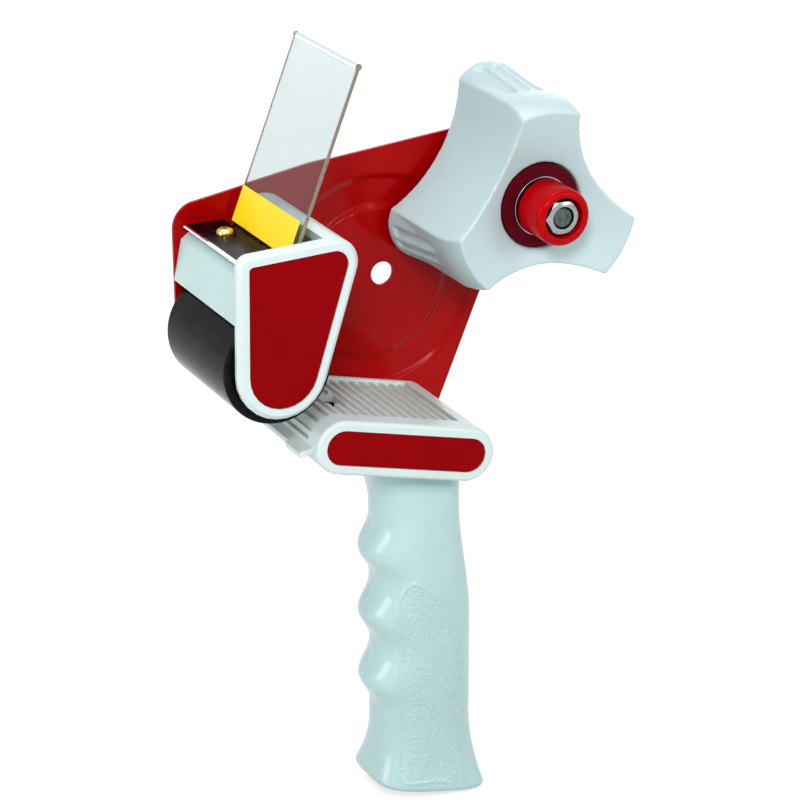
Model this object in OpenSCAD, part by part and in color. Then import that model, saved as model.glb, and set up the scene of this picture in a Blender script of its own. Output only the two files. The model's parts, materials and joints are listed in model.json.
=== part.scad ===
// Pistol-grip packing tape dispenser, as an assembly of its separate pieces.
// Millimetres. +Z runs up the grip, +X to the rear, -Y to the open near side.
// The origin is the centre of the grip's base.

/* [Overall] */
// Clear width between the side plate and the near covers
body_w = 54; // [50:0.5:60]

/* [Side plate] */
// Thickness of the pressed steel plate
plate_t = 1.5; // [1:0.1:2.5]
// Radius of the plate's round end behind the hub
plate_hub_r = 18; // [16:0.5:22]
// Radius of the plate's upper front corner
plate_front_r = 9.5; // [6:0.5:14]
// Step of the plate's front edge behind the cover's front edge
plate_front_step = 0.7; // [0.2:0.1:2]
// Rise of the plate's front corner above the cover's top edge
plate_top_rise = 2; // [1:0.5:4]
// Radius of the plate's round end behind the roller
plate_roller_r = 15; // [12:0.5:16]
// Distance of the shallow kink in the top edge ahead of the hub axis
plate_kink_back = 65; // [50:1:75]
// Height of that kink above the hub axis
plate_kink_rise = 10.9; // [9:0.1:12]
// Radius of the edge at the kink
plate_kink_r = 5.4; // [3:0.2:8]
// Reach of the plate's lower rear corner behind the deck's rear end centre
plate_tail = 8; // [5:0.5:10]
// Radius of the plate's lower rear corner
plate_tail_r = 6; // [4:0.5:8]
// Centre of the pressed ring, ahead of the hub axis
ring_back = 42; // [41:0.5:43]
// Centre of the pressed ring, below the hub axis
ring_drop = 35.8; // [35:0.2:36.4]
// Radius of the pressed ring's middle
ring_r = 33.5; // [32.5:0.5:34]
// Clearance between the pressed ring and the nearest head screw
ring_gap = 4.5; // [4:0.1:5]
// Width of the pressed ring
ring_w = 14.5; // [13:0.5:15]
// Width of each slope of the pressed ring
ring_flank_w = 3.5; // [2.5:0.1:4.5]
// Flat margin on both sides of the pressed ring
ring_lap = 0.5; // [0.3:0.1:1]
// Depth of the pressed ring
ring_h = 1.4; // [0.8:0.1:2]
// Diameter of the hanging hole
hang_d = 8.5; // [5:0.5:12]
// Height of the hanging hole above the ring's centre
hang_rise = 2.7; // [1:0.1:4]
// Distance of the hanging hole behind the ring's centre
hang_back = 3.5; // [2:0.1:5]

/* [Hub] */
// Distance of the hub axis behind the grip axis
hub_x = 37; // [34:0.5:42]
// Height of the hub axis above the grip's base
hub_z = 220.3; // [216:0.1:226]
// Diameter over the lobes, for a 76 mm tape core
hub_d = 76; // [70:0.5:80]
// Length of the hub, for 50 mm tape
hub_len = 49.5; // [46:0.5:52]
// Running gap between the hub and the plate
hub_gap = 4; // [3.5:0.1:6]
// Radius of the hub at the middle of its hollow sides
hub_waist_r = 21; // [20.5:0.1:23]
// Radius of the hollow sides
hub_side_r = 52.7; // [46:0.2:58]
// Wall of the hollow lobes
hub_wall = 2.5; // [2:0.1:3.5]
// Drop of the lobe tips at the near end
hub_taper = 3.3; // [1:0.1:5]
// Length of that drop
hub_taper_len = 14; // [8:0.5:20]
// Angle of the first lobe, from the rear
hub_turn = 89.4; // [60:0.2:120]
// Depth of the dished near face, from the lobe tips to the brake recess
hub_dish = 6.3; // [3:0.1:7]
// Depth of the brake recess below the lobe tips
hub_recess = 9.8; // [9:0.1:12]
// Rise of a lobe's crown over the core's radius, at the far end
crown_rise = 3.6; // [1:0.1:4]
// Radius of a lobe's crown
crown_r = 14.1; // [13:0.1:16]
// Length in which the crown runs out
crown_len = 33; // [24:0.5:36]
// Width of a grip groove in a crown
groove_w = 3.4; // [2:0.1:3.8]
// Depth of a grip groove
groove_depth = 1.3; // [0.4:0.1:1.5]
// Angle between the grip grooves
groove_step = 21; // [18:0.5:23]
// Length of the grip grooves
groove_len = 27; // [15:1:30]

/* [Axle and brake] */
// Diameter of the axle's shank in the hub
axle_d = 10; // [9:0.1:11]
// Diameter of the axle's threaded ends
stud_d = 7.9; // [6.9:0.1:7.9]
// Radius of the axle's flange on the plate
axle_flange_r = 9; // [8:0.5:11]
// Thickness of the axle's flange
axle_flange_t = 2; // [1.5:0.1:2.4]
// Length of each hub bush
bush_len = 12; // [8:0.5:14]
// Wall of each hub bush
bush_wall = 3; // [2:0.1:3.5]
// Thickness of the brake disc
disc_t = 3; // [2:0.1:4]
// Gap round the brake disc in the hub's recess
disc_gap = 0.5; // [0.3:0.1:1]
// Radius of the brake disc
disc_r = 14.9; // [12:0.1:15.5]
// Thickness of the thrust washer
thrust_t = 1.2; // [0.8:0.1:1.6]
// Radius of the tension knob
knob_r = 10.2; // [9.5:0.1:12]
// Length of the tension knob
knob_len = 15; // [14:0.5:18]
// Rounding of the knob's front edge
knob_round = 2.2; // [1.5:0.1:2.6]
// Room behind the knob for tightening
knob_room = 1.3; // [1.25:0.05:2]
// Wall of the knob round its spring
knob_wall = 1.5; // [1.2:0.1:2]
// Web of the knob between the spring and the nut
knob_web = 1.5; // [1.2:0.1:2]
// Depth of the hex pocket that turns the nut
hex_depth = 1.8; // [1:0.1:2.5]
// Radius of the round counterbore in the knob's front
cbore_r = 7.1; // [7:0.1:7.6]
// Depth of the front nut's face in the knob
nut_sink = 1.2; // [0.8:0.1:1.6]
// Width across flats of the rear hub nut
nut_af = 13; // [12:0.5:13]
// Width across flats of the knob's nut
knob_nut_af = 11.5; // [11:0.1:12]
// Height of the rear hub nut
nut_h = 6.5; // [5:0.1:7]
// Height of the knob's nut
knob_nut_h = 5.8; // [5.4:0.1:6.2]
// Depth of the stud's end in the front nut
stud_in = 0.5; // [0:0.1:1]
// Wire of the brake spring
brake_wire = 1.1; // [0.8:0.1:1.2]
// Turns of the brake spring
brake_turns = 3; // [2:0.25:3]

/* [Roller] */
// Distance of the roller's axis behind the head's front
roller_set = 16.1; // [14.5:0.1:18]
// Height of the roller axis above the grip's base
roller_z = 178.5; // [177:0.1:180]
// Radius over the rubber tyre
roller_r = 19.6; // [17.5:0.1:20.5]
// Thickness of the rubber tyre
tyre_t = 4; // [2.5:0.1:5]
// Gap between the roller's ends and the covers
roller_side = 2; // [1.8:0.1:3]
// Diameter of the roller axle
pivot_d = 8; // [6:0.1:9]
// Diameter of the roller axle's threaded end
pivot_stud_d = 5.9; // [4.9:0.1:5.9]
// Width across flats of the roller axle's nut
pivot_nut_af = 10; // [9:0.5:10]
// Height of the roller axle's nut
pivot_nut_h = 5; // [4:0.1:6]
// Length of each roller bush
roller_bush_len = 9; // [6:0.5:12]

/* [Head cover] */
// Clear width of the head, between the side plate and the near cover
head_w = 56; // [54:0.5:60]
// Distance of the cover's front edge ahead of the grip axis
head_fwd = 81.5; // [80.5:0.1:83]
// Height of the cover's top edge above the grip's base
head_top_z = 221.3; // [220:0.1:223]
// Length of the cover, front to rear
head_len = 43.9; // [42.5:0.1:46.5]
// Thickness of the near cover
cover_t = 3.2; // [3:0.1:4.5]
// Radius of the cover's upper front corner
cover_front_r = 4.5; // [4.2:0.1:6]
// Radius of the cover's upper rear corner
cover_rear_r = 9; // [7:0.2:10]
// Rise of the cover's upper rear corner
cover_rear_rise = 1.6; // [0:0.2:3]
// Radius of the cover's round chin
cover_chin_r = 16.5; // [15.5:0.1:17]
// Width of the rim round the red panel
cover_border = 4; // [3.6:0.1:5]
// Radius of the panel's upper front corner
panel_corner_r = 1.5; // [0.8:0.1:3]
// Bevel of the cover's outer edge
cover_edge = 1.6; // [0.8:0.1:2]
// Depth of the panel's recess
panel_depth = 1.2; // [0.8:0.1:1.3]
// Thickness of the red panels
panel_t = 1; // [0.6:0.1:1.1]
// Wall of the rear hood
hood_t = 3; // [2.2:0.1:3.5]
// Height of the hood's lower edge above the roller axis
hood_drop_z = 15; // [12:0.5:18]
// Distance of the hood's front lip behind the head's front
hood_lip_set = 32.1; // [31.5:0.1:34.5]

/* [Blade and guard] */
// Height of the blade's seat below the cover's top edge
seat_drop = 6.2; // [5.8:0.1:7]
// Set-back of the blade's cutting edge behind the guard's top edge
blade_set = 0.3; // [0:0.1:1]
// Depth of the blade from its cutting edge to its back
blade_depth = 15.4; // [12.5:0.1:15.5]
// Thickness of the blade
blade_t = 0.6; // [0.4:0.1:1]
// Gap between the blade's ends and the covers
blade_side = 1; // [0.5:0.1:2]
// Pitch of the blade's teeth
tooth_pitch = 1.3; // [1:0.1:2]
// Depth of the blade's teeth
tooth_depth = 0.7; // [0.4:0.1:1]
// Distance of the blade screws behind the cutting edge
blade_screw_back = 9.4; // [8.8:0.1:10]
// Distance of the far blade screw from the side plate
blade_screw_in = 16.1; // [10:0.1:20]
// Distance between the blade screws
blade_screw_gap = 32.4; // [20:0.2:34]
// Thickness of the ledge under the blade
ledge_t = 3; // [2.5:0.1:3.2]
// Set-back of the guard's low edge behind the head's front
guard_set = 0.6; // [0.2:0.1:1.1]
// Height of the guard from its lower edge to the blade's seat
guard_h = 19; // [17:0.2:20]
// Lean of the guard's face over its height
guard_lean = 2.9; // [2:0.1:3.5]
// Length of the bevel under the blade, front to back
guard_bevel_x = 3.6; // [2.5:0.1:4]
// Height of that bevel
guard_bevel_z = 2.6; // [2:0.1:3]
// Height of the guard's top lip above the bevel
guard_lip_h = 2; // [1.5:0.1:2.4]
// Wall of the guard
guard_t = 2.5; // [2:0.1:3]

/* [Flap] */
// Lean of the clear flap to the rear
flap_lean = 20.9; // [18:0.1:22]
// Length of the flap from its pin to its top edge
flap_len = 78; // [60:0.5:84]
// Thickness of the flap
flap_t = 1.4; // [1.2:0.1:2.2]
// Radius of the bead along the flap's top edge
bead_r = 1.2; // [1.1:0.1:1.6]
// Gap between the flap and the side plate
flap_side_far = 3.5; // [2:0.1:5]
// Gap between the flap and the near cover
flap_side_near = 1.5; // [0.8:0.1:3]
// Height of the flap pin below the blade's seat
pin_drop = 7.8; // [7.4:0.1:8.6]
// Distance of the flap's pin behind the head's front
pin_set = 18.65; // [18.1:0.05:19.3]
// Diameter of the flap pin
pin_d = 3; // [2.5:0.1:3.2]
// Radius of the flap's hinge barrel
barrel_r = 3.2; // [2.8:0.1:3.4]
// Width of the spring's gap in the hinge barrel
barrel_gap = 16; // [14:0.5:20]
// Height of the spring's gap above the pin
notch_h = 5; // [4.4:0.1:6]
// Height of the yellow sticker
sticker_h = 13; // [8:0.5:16]
// Width of the yellow sticker
sticker_w = 48; // [30:0.5:49]
// Thickness of the yellow sticker
sticker_t = 0.15; // [0.1:0.05:0.2]
// Wire of the flap spring
flap_wire = 0.8; // [0.6:0.1:0.9]
// Turns of the flap spring
flap_turns = 5; // [3:1:6]

/* [Deck] */
// Distance of the deck's centre ahead of the grip axis
deck_fwd = 17.4; // [15:0.2:19]
// Height of the deck's centre above the grip's base
deck_z = 140.5; // [138:0.1:142]
// Slope of the deck down to the rear
deck_tilt = 12.7; // [10:0.1:14]
// Length of the deck over its round ends
deck_len = 69; // [64:0.5:71]
// Height of the deck
deck_h = 19.6; // [18:0.2:20]
// Wall of the deck
deck_wall = 2.5; // [2:0.1:2.8]
// Rounding of the deck's near edge
deck_round = 1.4; // [1:0.2:3]
// Width of the rim round the deck's red panel
deck_border = 3.5; // [3:0.1:4]
// Smooth band between the ribs and the near face
deck_band = 8.5; // [7:0.5:14]
// Smooth band between the ribs and the side plate
far_band = 1.8; // [1:0.1:2]
// Depth of the ribbed recess
rib_recess = 2.2; // [1.6:0.1:2.3]
// Height of a rib
rib_h = 1.3; // [0.6:0.1:1.5]
// Width of a rib
rib_w = 1.5; // [1:0.1:2]
// Pitch of the ribs
rib_pitch = 3.94; // [3.5:0.02:4.5]
// Ribs on the flat top
rib_count = 12; // [8:1:12]
// Ribs round the front end
rib_wrap = 4; // [1:1:4]
// Length of the window in the deck, front to rear
window_l = 10; // [6:0.5:14]
// Width of the window in the deck
window_w = 14; // [8:0.5:20]
// Distance of the window's centre ahead of the deck's centre
window_fwd = 18; // [15:0.5:20]
// Offset of the window's centre towards the plate
window_off = 3; // [0:0.5:6]
// Reach of the tape lip ahead of the deck's front end
lip_reach = 5.1; // [3:0.1:7]
// Slope of the tape lip down to the front
lip_slope = 12; // [0:1:20]
// Distance of the lip's ends from the deck's sides
lip_in = 4; // [2:0.5:8]
// Thickness of the tape lip
lip_t = 2.2; // [1.6:0.1:3]
// Set-back of the lip's far part
lip_step = 1.3; // [0.5:0.1:2]
// Width of the lip's near part
lip_near_w = 12; // [6:0.5:20]

/* [Grip] */
// Reach of the grip ahead of its axis, in the finger grooves
grip_front = 17.8; // [16:0.1:20]
// Reach of the grip behind its axis, at the palm
grip_rear = 18.5; // [16.5:0.1:20]
// Half thickness of the grip
grip_half_t = 15; // [14:0.1:17]
// Squareness of the grip's section
grip_power = 2.5; // [2:0.1:3]
// Extra squareness of the section at the base
base_power = 1.5; // [0:0.1:2]
// Height of the finger ridges
finger_h = 4.6; // [2:0.1:5]
// Distance between the finger ridges
finger_pitch = 25.1; // [22:0.1:26]
// Height of the lowest finger ridge above the base
finger_z = 43.9; // [40:0.1:48]
// Flare of the base to the front
base_flare_front = 4.6; // [2:0.1:6]
// Flare of the base to the rear
base_flare_rear = 4.8; // [2:0.1:6]
// Flare of the base, sideways
base_flare_y = 2.8; // [1:0.1:4]
// Slope of the base down to the rear
base_tilt = 10; // [4:0.5:13]
// Height of the base's flare
flare_h = 26; // [18:1:40]
// Narrowing of the grip's back towards the deck
neck_in = 5; // [2:0.1:6]
// Height at which that narrowing starts
neck_z = 65; // [50:1:70]
// Height of that narrowing
neck_h = 46; // [36:1:50]
// Flare of the grip's front under the deck
neck_flare = 9.5; // [1:0.1:10]
// Rounding of the base's edge at its front
base_round_front = 3.5; // [3:0.5:5]
// Rounding of the base's edge at its sides and rear
base_round = 2.5; // [2:0.5:3.5]
// Wall of the grip shells
grip_wall = 2.6; // [2:0.1:3]
// Wall under the deck
grip_top_wall = 3; // [2:0.1:4]
// Thickness of the base plug's inner rim
plug_t = 1.2; // [0.8:0.1:1.4]

/* [Fasteners] */
// Shank diameter of the tapping screws
screw_d = 4; // [3.4:0.1:4.2]
// Head diameter of the tapping screws
screw_head_d = 7.2; // [6:0.1:7.4]
// Head height of the tapping screws
screw_head_h = 2.4; // [1.6:0.1:2.8]
// Length of thread in a boss
screw_bite = 14; // [8:0.5:16]
// Shank diameter of the blade screws
blade_screw_d = 3; // [2.4:0.1:3.2]
// Head diameter of the blade screws
blade_head_d = 6; // [5:0.1:6.2]
// Head height of the blade screws
blade_head_h = 2; // [1.4:0.1:2.2]
// Wall of a screw boss
boss_wall = 2.3; // [1.8:0.1:2.5]

/* [Clearances] */
// Radial gap of a turning fit
run_gap = 0.05; // [0.02:0.01:0.08]
// Radial gap of a fixed fit
fix_gap = 0.02; // [0.01:0.01:0.05]
// Gap of a loose hole round a screw
loose_gap = 0.2; // [0.1:0.05:0.3]
// Gap between faces that move past each other
face_gap = 0.3; // [0.25:0.05:0.4]
// Gap round an inlaid panel
inlay_gap = 0.15; // [0.1:0.05:0.25]

/* [Hidden] */
$fn = 96;

eps = 0.01;
cut = 1;
wrap_steps = 12;
near_grey = "#c8dedc";
deck_grey = "#c4cac4";
plate_red = "#a3060c";
panel_red = "#96000a";
knob_red = "#c8141e";
steel = "#b9bcc0";
brass = "#c8a84b";

// Planes across the width
y_plate = body_w / 2;
y_near = -body_w / 2;
y_plate_back = y_plate + plate_t;

// Hub and brake, along the hub axis
hub_back = y_plate - hub_gap;
hub_front = hub_back - hub_len;
recess_y = hub_front + hub_recess;
disc_back = recess_y - face_gap;
disc_front = disc_back - disc_t;
thrust_front = disc_front - thrust_t;
knob_back = thrust_front - knob_room;
knob_front = knob_back - knob_len;
nut_seat = knob_front + nut_sink + knob_nut_h - face_gap;
knob_cavity = nut_seat + knob_web;
seat_front = knob_cavity + face_gap;
seat_t = 1;
seat_back = seat_front + seat_t;
nut_front = nut_seat - knob_nut_h;
stud_end = nut_front + stud_in;
shoulder_y = recess_y + face_gap;
stud_r = stud_d / 2;
axle_r = axle_d / 2;
bush_r = axle_r + run_gap + bush_wall;
bush_flange_w = 1.6;
bush_flange_r = bush_r + bush_flange_w;
bush_flange_t = 1;
recess_r = disc_r + disc_gap;
core_r = recess_r + hub_wall;
key_depth = 0.55;
key_flat = stud_r - key_depth;
back_washer_t = 1.6;
back_washer_r = 9;
washer_in = 0.5;
hub_washer_r = axle_flange_r - washer_in;
knob_bore_r = knob_r - knob_wall;
thrust_rim = 0.4;

// Roller
head_front_x = -head_fwd;
roller_x = head_front_x + roller_set;
roller_far = y_plate - roller_side;
roller_near = y_plate - head_w + roller_side;
roller_len = roller_far - roller_near;
core_out_r = roller_r - tyre_t;
core_wall = 2.6;
pivot_r = pivot_d / 2;
pivot_stud_r = pivot_stud_d / 2;
roller_bush_wall = 2;
roller_bush_r = pivot_r + run_gap + roller_bush_wall;
core_hub_wall = 2.4;
core_hub_r = roller_bush_r + core_hub_wall;
core_web_t = 4;
pivot_flange_t = 1.4;
pivot_flange_w = 2.4;
pivot_flange_r = pivot_r + pivot_flange_w;
cover_boss_w = 2.6;
cover_boss_r = pivot_r + cover_boss_w;
cover_boss_gap = 0.7;
cover_boss_h = roller_side - cover_boss_gap;
socket_depth = 1.4;

// Head
head_rear_x = head_front_x + head_len;
y_cover = y_plate - head_w;
head_mid = y_plate - head_w / 2;
cover_front_y = y_cover - cover_t;
cover_outline = [
    [head_front_x + cover_front_r, head_top_z - cover_front_r, cover_front_r],
    [roller_x, roller_z, cover_chin_r],
    [head_rear_x - cover_rear_r, head_top_z + cover_rear_rise - cover_rear_r, cover_rear_r]
];
hood_corner = cover_outline[2];
panel_outline = [
    [
        head_front_x + cover_border + panel_corner_r,
        head_top_z - cover_border - panel_corner_r,
        panel_corner_r
    ],
    [roller_x, roller_z, cover_chin_r - cover_border],
    [hood_corner[0], hood_corner[1], cover_rear_r - cover_border]
];
hood_low_z = roller_z + hood_drop_z;
boss_r = screw_d / 2 + boss_wall;
hood_boss_shift = [2, 1.5];
hood_boss = [hood_corner[0] + hood_boss_shift[0], hood_corner[1] + hood_boss_shift[1]];
hood_low_shift = [-1.2, 1.6];
hood_low_boss = [hood_corner[0] + hood_low_shift[0], hood_low_z + boss_r + hood_low_shift[1]];
seat_z = head_top_z - seat_drop;
guard_low_z = seat_z - guard_h;
guard_low_x = head_front_x + guard_set;
guard_top_z = seat_z - guard_lip_h - guard_bevel_z;
guard_top_x = guard_low_x + guard_lean;
lip_x = guard_top_x + guard_bevel_x;
guard_boss_in = 0.6;
guard_boss = [guard_top_x + guard_t + boss_r - guard_boss_in, guard_top_z - boss_r];
blade_boss_wall = 1.5;
blade_x = guard_top_x + blade_set;
blade_screw_x = blade_x + blade_screw_back;
blade_screw_y = [y_plate - blade_screw_in, y_plate - blade_screw_in - blade_screw_gap];
peg_r = 1.6;
peg_h = 1.4;

// Flap, round its pin
pin_x = head_front_x + pin_set;
pin_z = seat_z - pin_drop;
pin_r = pin_d / 2;
flap_far = y_plate - flap_side_far;
flap_near = y_cover + flap_side_near;
pin_head_w = 1;
pin_head_r = pin_r + pin_head_w;
pin_head_h = 0.8;
function flap_face_x(z) = pin_x + (z - pin_z) * tan(flap_lean) - flap_t / 2 / cos(flap_lean);
ledge_rear_x = flap_face_x(seat_z - ledge_t) - face_gap;
sticker_rise = 0.3;
sticker_low = (seat_z + face_gap - pin_z) / cos(flap_lean) + sticker_rise;

// Deck
deck_x = -deck_fwd;
deck_r = deck_h / 2;
deck_half = deck_len / 2 - deck_r;
rib_floor = deck_r - rib_recess;
rib_far_y = y_plate - far_band;
rib_near_y = y_near + deck_band;
bolt_x = 14;
bolt_y = 7;
near_wall = deck_wall + panel_depth;
deck_front_x = deck_x - deck_half * cos(deck_tilt);
deck_front_z = deck_z + deck_half * sin(deck_tilt);
deck_tail_x = deck_x + deck_half * cos(deck_tilt);
deck_tail_z = deck_z - deck_half * sin(deck_tilt);
deck_screw_at = [[deck_front_x, deck_front_z], [deck_tail_x, deck_tail_z]];
head_screw_at = [hood_boss, hood_low_boss, guard_boss];

// Side plate
plate_deck_in = 1.5;
ring_x = hub_x - ring_back;
ring_z = hub_z - ring_drop;
ring_free = min([for (p = head_screw_at) norm(p - [ring_x, ring_z])]) - ring_gap;
ring_mid = min(ring_r, ring_free - ring_w / 2);
plate_outline = [
    [
        head_front_x + plate_front_step + plate_front_r,
        head_top_z + plate_top_rise - plate_front_r,
        plate_front_r
    ],
    [roller_x, roller_z, plate_roller_r],
    [deck_front_x, deck_front_z, deck_r - plate_deck_in],
    [deck_tail_x + plate_tail, deck_tail_z, plate_tail_r],
    [hub_x, hub_z, plate_hub_r],
    [hub_x - plate_kink_back, hub_z + plate_kink_rise - plate_kink_r, plate_kink_r]
];

// Grip
finger_count = 3;
neck_flare_h = 18;
tilt_h = 26;
base_steps = 6;
plug_seat = base_round_front * (1 - cos(60));
grip_rings = 38;
grip_steps = 16;
grip_screw_z = [27, 63, 101];
grip_head_y = 7.5;
grip_top_z = deck_z - deck_r / cos(deck_tilt) - tan(deck_tilt) * -deck_x - fix_gap;
plug_rim = 3.2;
plug_gap = 0.9;
plug_lap = 0.9;

// General functions
function turn_mod(a) = a - 360 * floor(a / 360);
function smooth01(t) = let (c = min(1, max(0, t))) c * c * (3 - 2 * c);
function unit(v) = v / norm(v);

// Outward direction of the line that touches two circles, going anticlockwise
function tangent_dir(p, q) =
    let (dx = q[0] - p[0], dz = q[1] - p[1])
    atan2(dz, dx) - acos((p[2] - q[2]) / norm([dx, dz]));

// Outline of a belt round circles [x, z, radius], listed anticlockwise
function belt(circles, inset = 0) =
    let (n = len(circles))
    [
        for (i = [0 : n - 1])
            let (
                before = circles[(i + n - 1) % n],
                here = circles[i],
                after = circles[(i + 1) % n],
                a0 = tangent_dir(before, here),
                sweep = turn_mod(tangent_dir(here, after) - a0)
            )
            for (s = [0 : wrap_steps])
                let (a = a0 + sweep * s / wrap_steps)
                [here[0] + (here[2] - inset) * cos(a), here[1] + (here[2] - inset) * sin(a)]
    ];

// Half section of a turned piece with a rounded end edge
function rounded_half(r, h, edge) = concat(
    [[0, 0], [r, 0]],
    [
        for (s = [0 : wrap_steps])
            let (a = 90 * s / wrap_steps)
            [r - edge + edge * cos(a), h - edge + edge * sin(a)]
    ],
    [[0, h]]
);

// Round tube swept along points, with a side direction at each point
function tube_ring(points, sides_dir, i, r, sides) =
    let (
        last = len(points) - 1,
        along = unit(points[min(i + 1, last)] - points[max(i - 1, 0)]),
        across = unit(cross(along, sides_dir[i])),
        out = cross(across, along)
    )
    [for (k = [0 : sides - 1]) points[i] + r * (cos(360 * k / sides) * out + sin(360 * k / sides) * across)];

// Least gap of a tube to itself, measured between points over half a turn apart
function least_gap(points, r, apart) =
    let (last = len(points) - 1)
    min([for (i = [0 : last]) for (j = [i + apart : 1 : last]) norm(points[i] - points[j])]) - 2 * r;

// General modules
module along_y(y0, y1) {
    translate([0, y1, 0]) rotate([90, 0, 0]) linear_extrude(height = y1 - y0) children();
}

module rod_y(x, z, y0, y1, r) {
    translate([x, y1, z]) rotate([90, 0, 0]) cylinder(h = y1 - y0, r = r);
}

module hex_y(x, z, y0, y1, af) {
    translate([x, y1, z]) rotate([90, 0, 0]) cylinder(h = y1 - y0, d = af / cos(30), $fn = 6);
}

// Turned piece on an axis along Y, whose profile starts at y0 and runs to the near side
module lathe_y(x, z, y0) {
    translate([x, y0, z]) rotate([90, 0, 0]) rotate_extrude() children();
}

module tube(points, sides_dir, r, sides) {
    rings = len(points);
    verts = [for (i = [0 : rings - 1]) each tube_ring(points, sides_dir, i, r, sides)];
    walls = [
        for (i = [0 : rings - 2]) for (k = [0 : sides - 1])
            let (a = i * sides + k, b = i * sides + (k + 1) % sides)
            each [[a, b, b + sides], [a, b + sides, a + sides]]
    ];
    start = [for (k = [1 : sides - 2]) [0, k + 1, k]];
    tail = (rings - 1) * sides;
    end = [for (k = [1 : sides - 2]) [tail, tail + k, tail + k + 1]];
    polyhedron(points = verts, faces = concat(walls, start, end));
}

// Pan head screw with a cross recess, head up, its seat at z = 0
module pan_screw(shank_d, shank_len, head_d, head_h) {
    r = head_d / 2;
    slot = shank_d * 0.28;
    difference() {
        rotate_extrude()
            polygon([
                [0, -shank_len], [shank_d / 4, -shank_len],
                [shank_d / 2, -shank_len + shank_d / 2], [shank_d / 2, 0],
                [r, 0], [r, head_h * 0.45], [r * 0.9, head_h * 0.75], [r * 0.6, head_h], [0, head_h]
            ]);
        for (a = [0, 90])
            rotate([0, 0, a]) translate([-r / 2, -slot / 2, head_h * 0.45]) cube([r, slot, head_h]);
    }
}

// Screw through the side plate from its back
module plate_screw(x, z) {
    translate([x, y_plate_back, z]) rotate([-90, 0, 0])
        pan_screw(screw_d, plate_t + screw_bite, screw_head_d, screw_head_h);
}

module screw_pilot(x, z, depth) {
    rod_y(x, z, y_plate - depth, y_plate + cut, screw_d / 2 + fix_gap);
}

module in_deck() {
    translate([deck_x, 0, deck_z]) rotate([0, deck_tilt, 0]) children();
}

module in_flap() {
    translate([pin_x, 0, pin_z]) rotate([0, flap_lean, 0]) children();
}

// Side plate
module ring_band() {
    steps = 8;
    rise = [for (s = [0 : steps]) [ring_flank_w * s / steps, -ring_h * smooth01(s / steps)]];
    face = concat(
        [[ring_mid - ring_w / 2 - ring_lap, 0]],
        [for (p = rise) [ring_mid - ring_w / 2 + p[0], p[1]]],
        [for (s = [steps : -1 : 0]) [ring_mid + ring_w / 2 - rise[s][0], rise[s][1]]],
        [[ring_mid + ring_w / 2 + ring_lap, 0]]
    );
    polygon(concat(face, [for (i = [len(face) - 1 : -1 : 0]) face[i] - [0, plate_t]]));
}

module side_plate() {
    color(plate_red) {
        difference() {
            along_y(y_plate, y_plate_back) polygon(belt(plate_outline));
            difference() {
                rod_y(ring_x, ring_z, y_plate - cut, y_plate_back + cut, ring_mid + ring_w / 2);
                rod_y(ring_x, ring_z, y_plate - 2 * cut, y_plate_back + 2 * cut, ring_mid - ring_w / 2);
            }
            rod_y(ring_x + hang_back, ring_z + hang_rise, y_plate - cut, y_plate_back + cut, hang_d / 2);
            rod_y(hub_x, hub_z, y_plate - cut, y_plate_back + cut, stud_r + loose_gap);
            rod_y(roller_x, roller_z, y_plate - cut, y_plate_back + cut, pivot_stud_r + loose_gap);
            rod_y(pin_x, pin_z, y_plate - cut, y_plate_back + cut, pin_r + fix_gap);
            for (p = concat(head_screw_at, deck_screw_at))
                rod_y(p[0], p[1], y_plate - cut, y_plate_back + cut, screw_d / 2 + loose_gap);
        }
        lathe_y(ring_x, ring_z, y_plate) ring_band();
    }
}

// Deck
module deck_form(r, y0, y1, edge) {
    half = rounded_half(r, y1 - y0, edge);
    in_deck() {
        for (e = [-1, 1])
            lathe_y(e * deck_half, 0, y1) polygon(half);
        translate([-deck_half, 0, 0]) rotate([90, 0, 90]) linear_extrude(height = 2 * deck_half)
            polygon(concat(
                [for (p = half) [y1 - p[1], p[0]]],
                [for (i = [len(half) - 2 : -1 : 1]) [y1 - half[i][1], -half[i][0]]]
            ));
    }
}

module deck_ribs() {
    first = -deck_half + rib_pitch / 2;
    wrap_angle = rib_pitch / deck_r * 180 / PI;
    root = 0.4;
    in_deck() {
        for (i = [0 : rib_count - 1])
            translate([first + i * rib_pitch - rib_w / 2, rib_near_y, rib_floor - root])
                cube([rib_w, rib_far_y - rib_near_y, rib_h + root]);
        translate([-deck_half, 0, 0])
            for (i = [0 : rib_wrap - 1])
                rotate([0, -(i + 0.5) * wrap_angle, 0])
                    translate([-rib_w / 2, rib_near_y, rib_floor - root])
                        cube([rib_w, rib_far_y - rib_near_y, rib_h + root]);
    }
}

module deck_rib_recess() {
    reach = deck_half + deck_len;
    rear = -deck_half + rib_count * rib_pitch;
    wrap_low = deck_r * sin(90 - rib_wrap * rib_pitch / deck_r * 180 / PI);
    difference() {
        in_deck() translate([-reach, rib_near_y, wrap_low])
            cube([reach + rear, rib_far_y - rib_near_y, deck_h]);
        deck_form(rib_floor, y_near - cut, y_plate + body_w, eps);
    }
}

module lip_plate(reach, y0, y1) {
    root_x = deck_front_x - deck_r + deck_wall;
    translate([root_x, 0, deck_front_z]) rotate([0, -lip_slope, 0])
        translate([-deck_wall - reach, y0, -lip_t / 2]) cube([deck_wall + reach, y1 - y0, lip_t]);
}

module deck_lip() {
    near = y_near + lip_in;
    lip_plate(lip_reach, near, near + lip_near_w);
    lip_plate(lip_reach - lip_step, near, y_plate - lip_in);
}

module deck_bolt_place() {
    in_deck() for (s = [-1, 1]) translate([bolt_x, s * bolt_y, -deck_r]) children();
}

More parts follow.
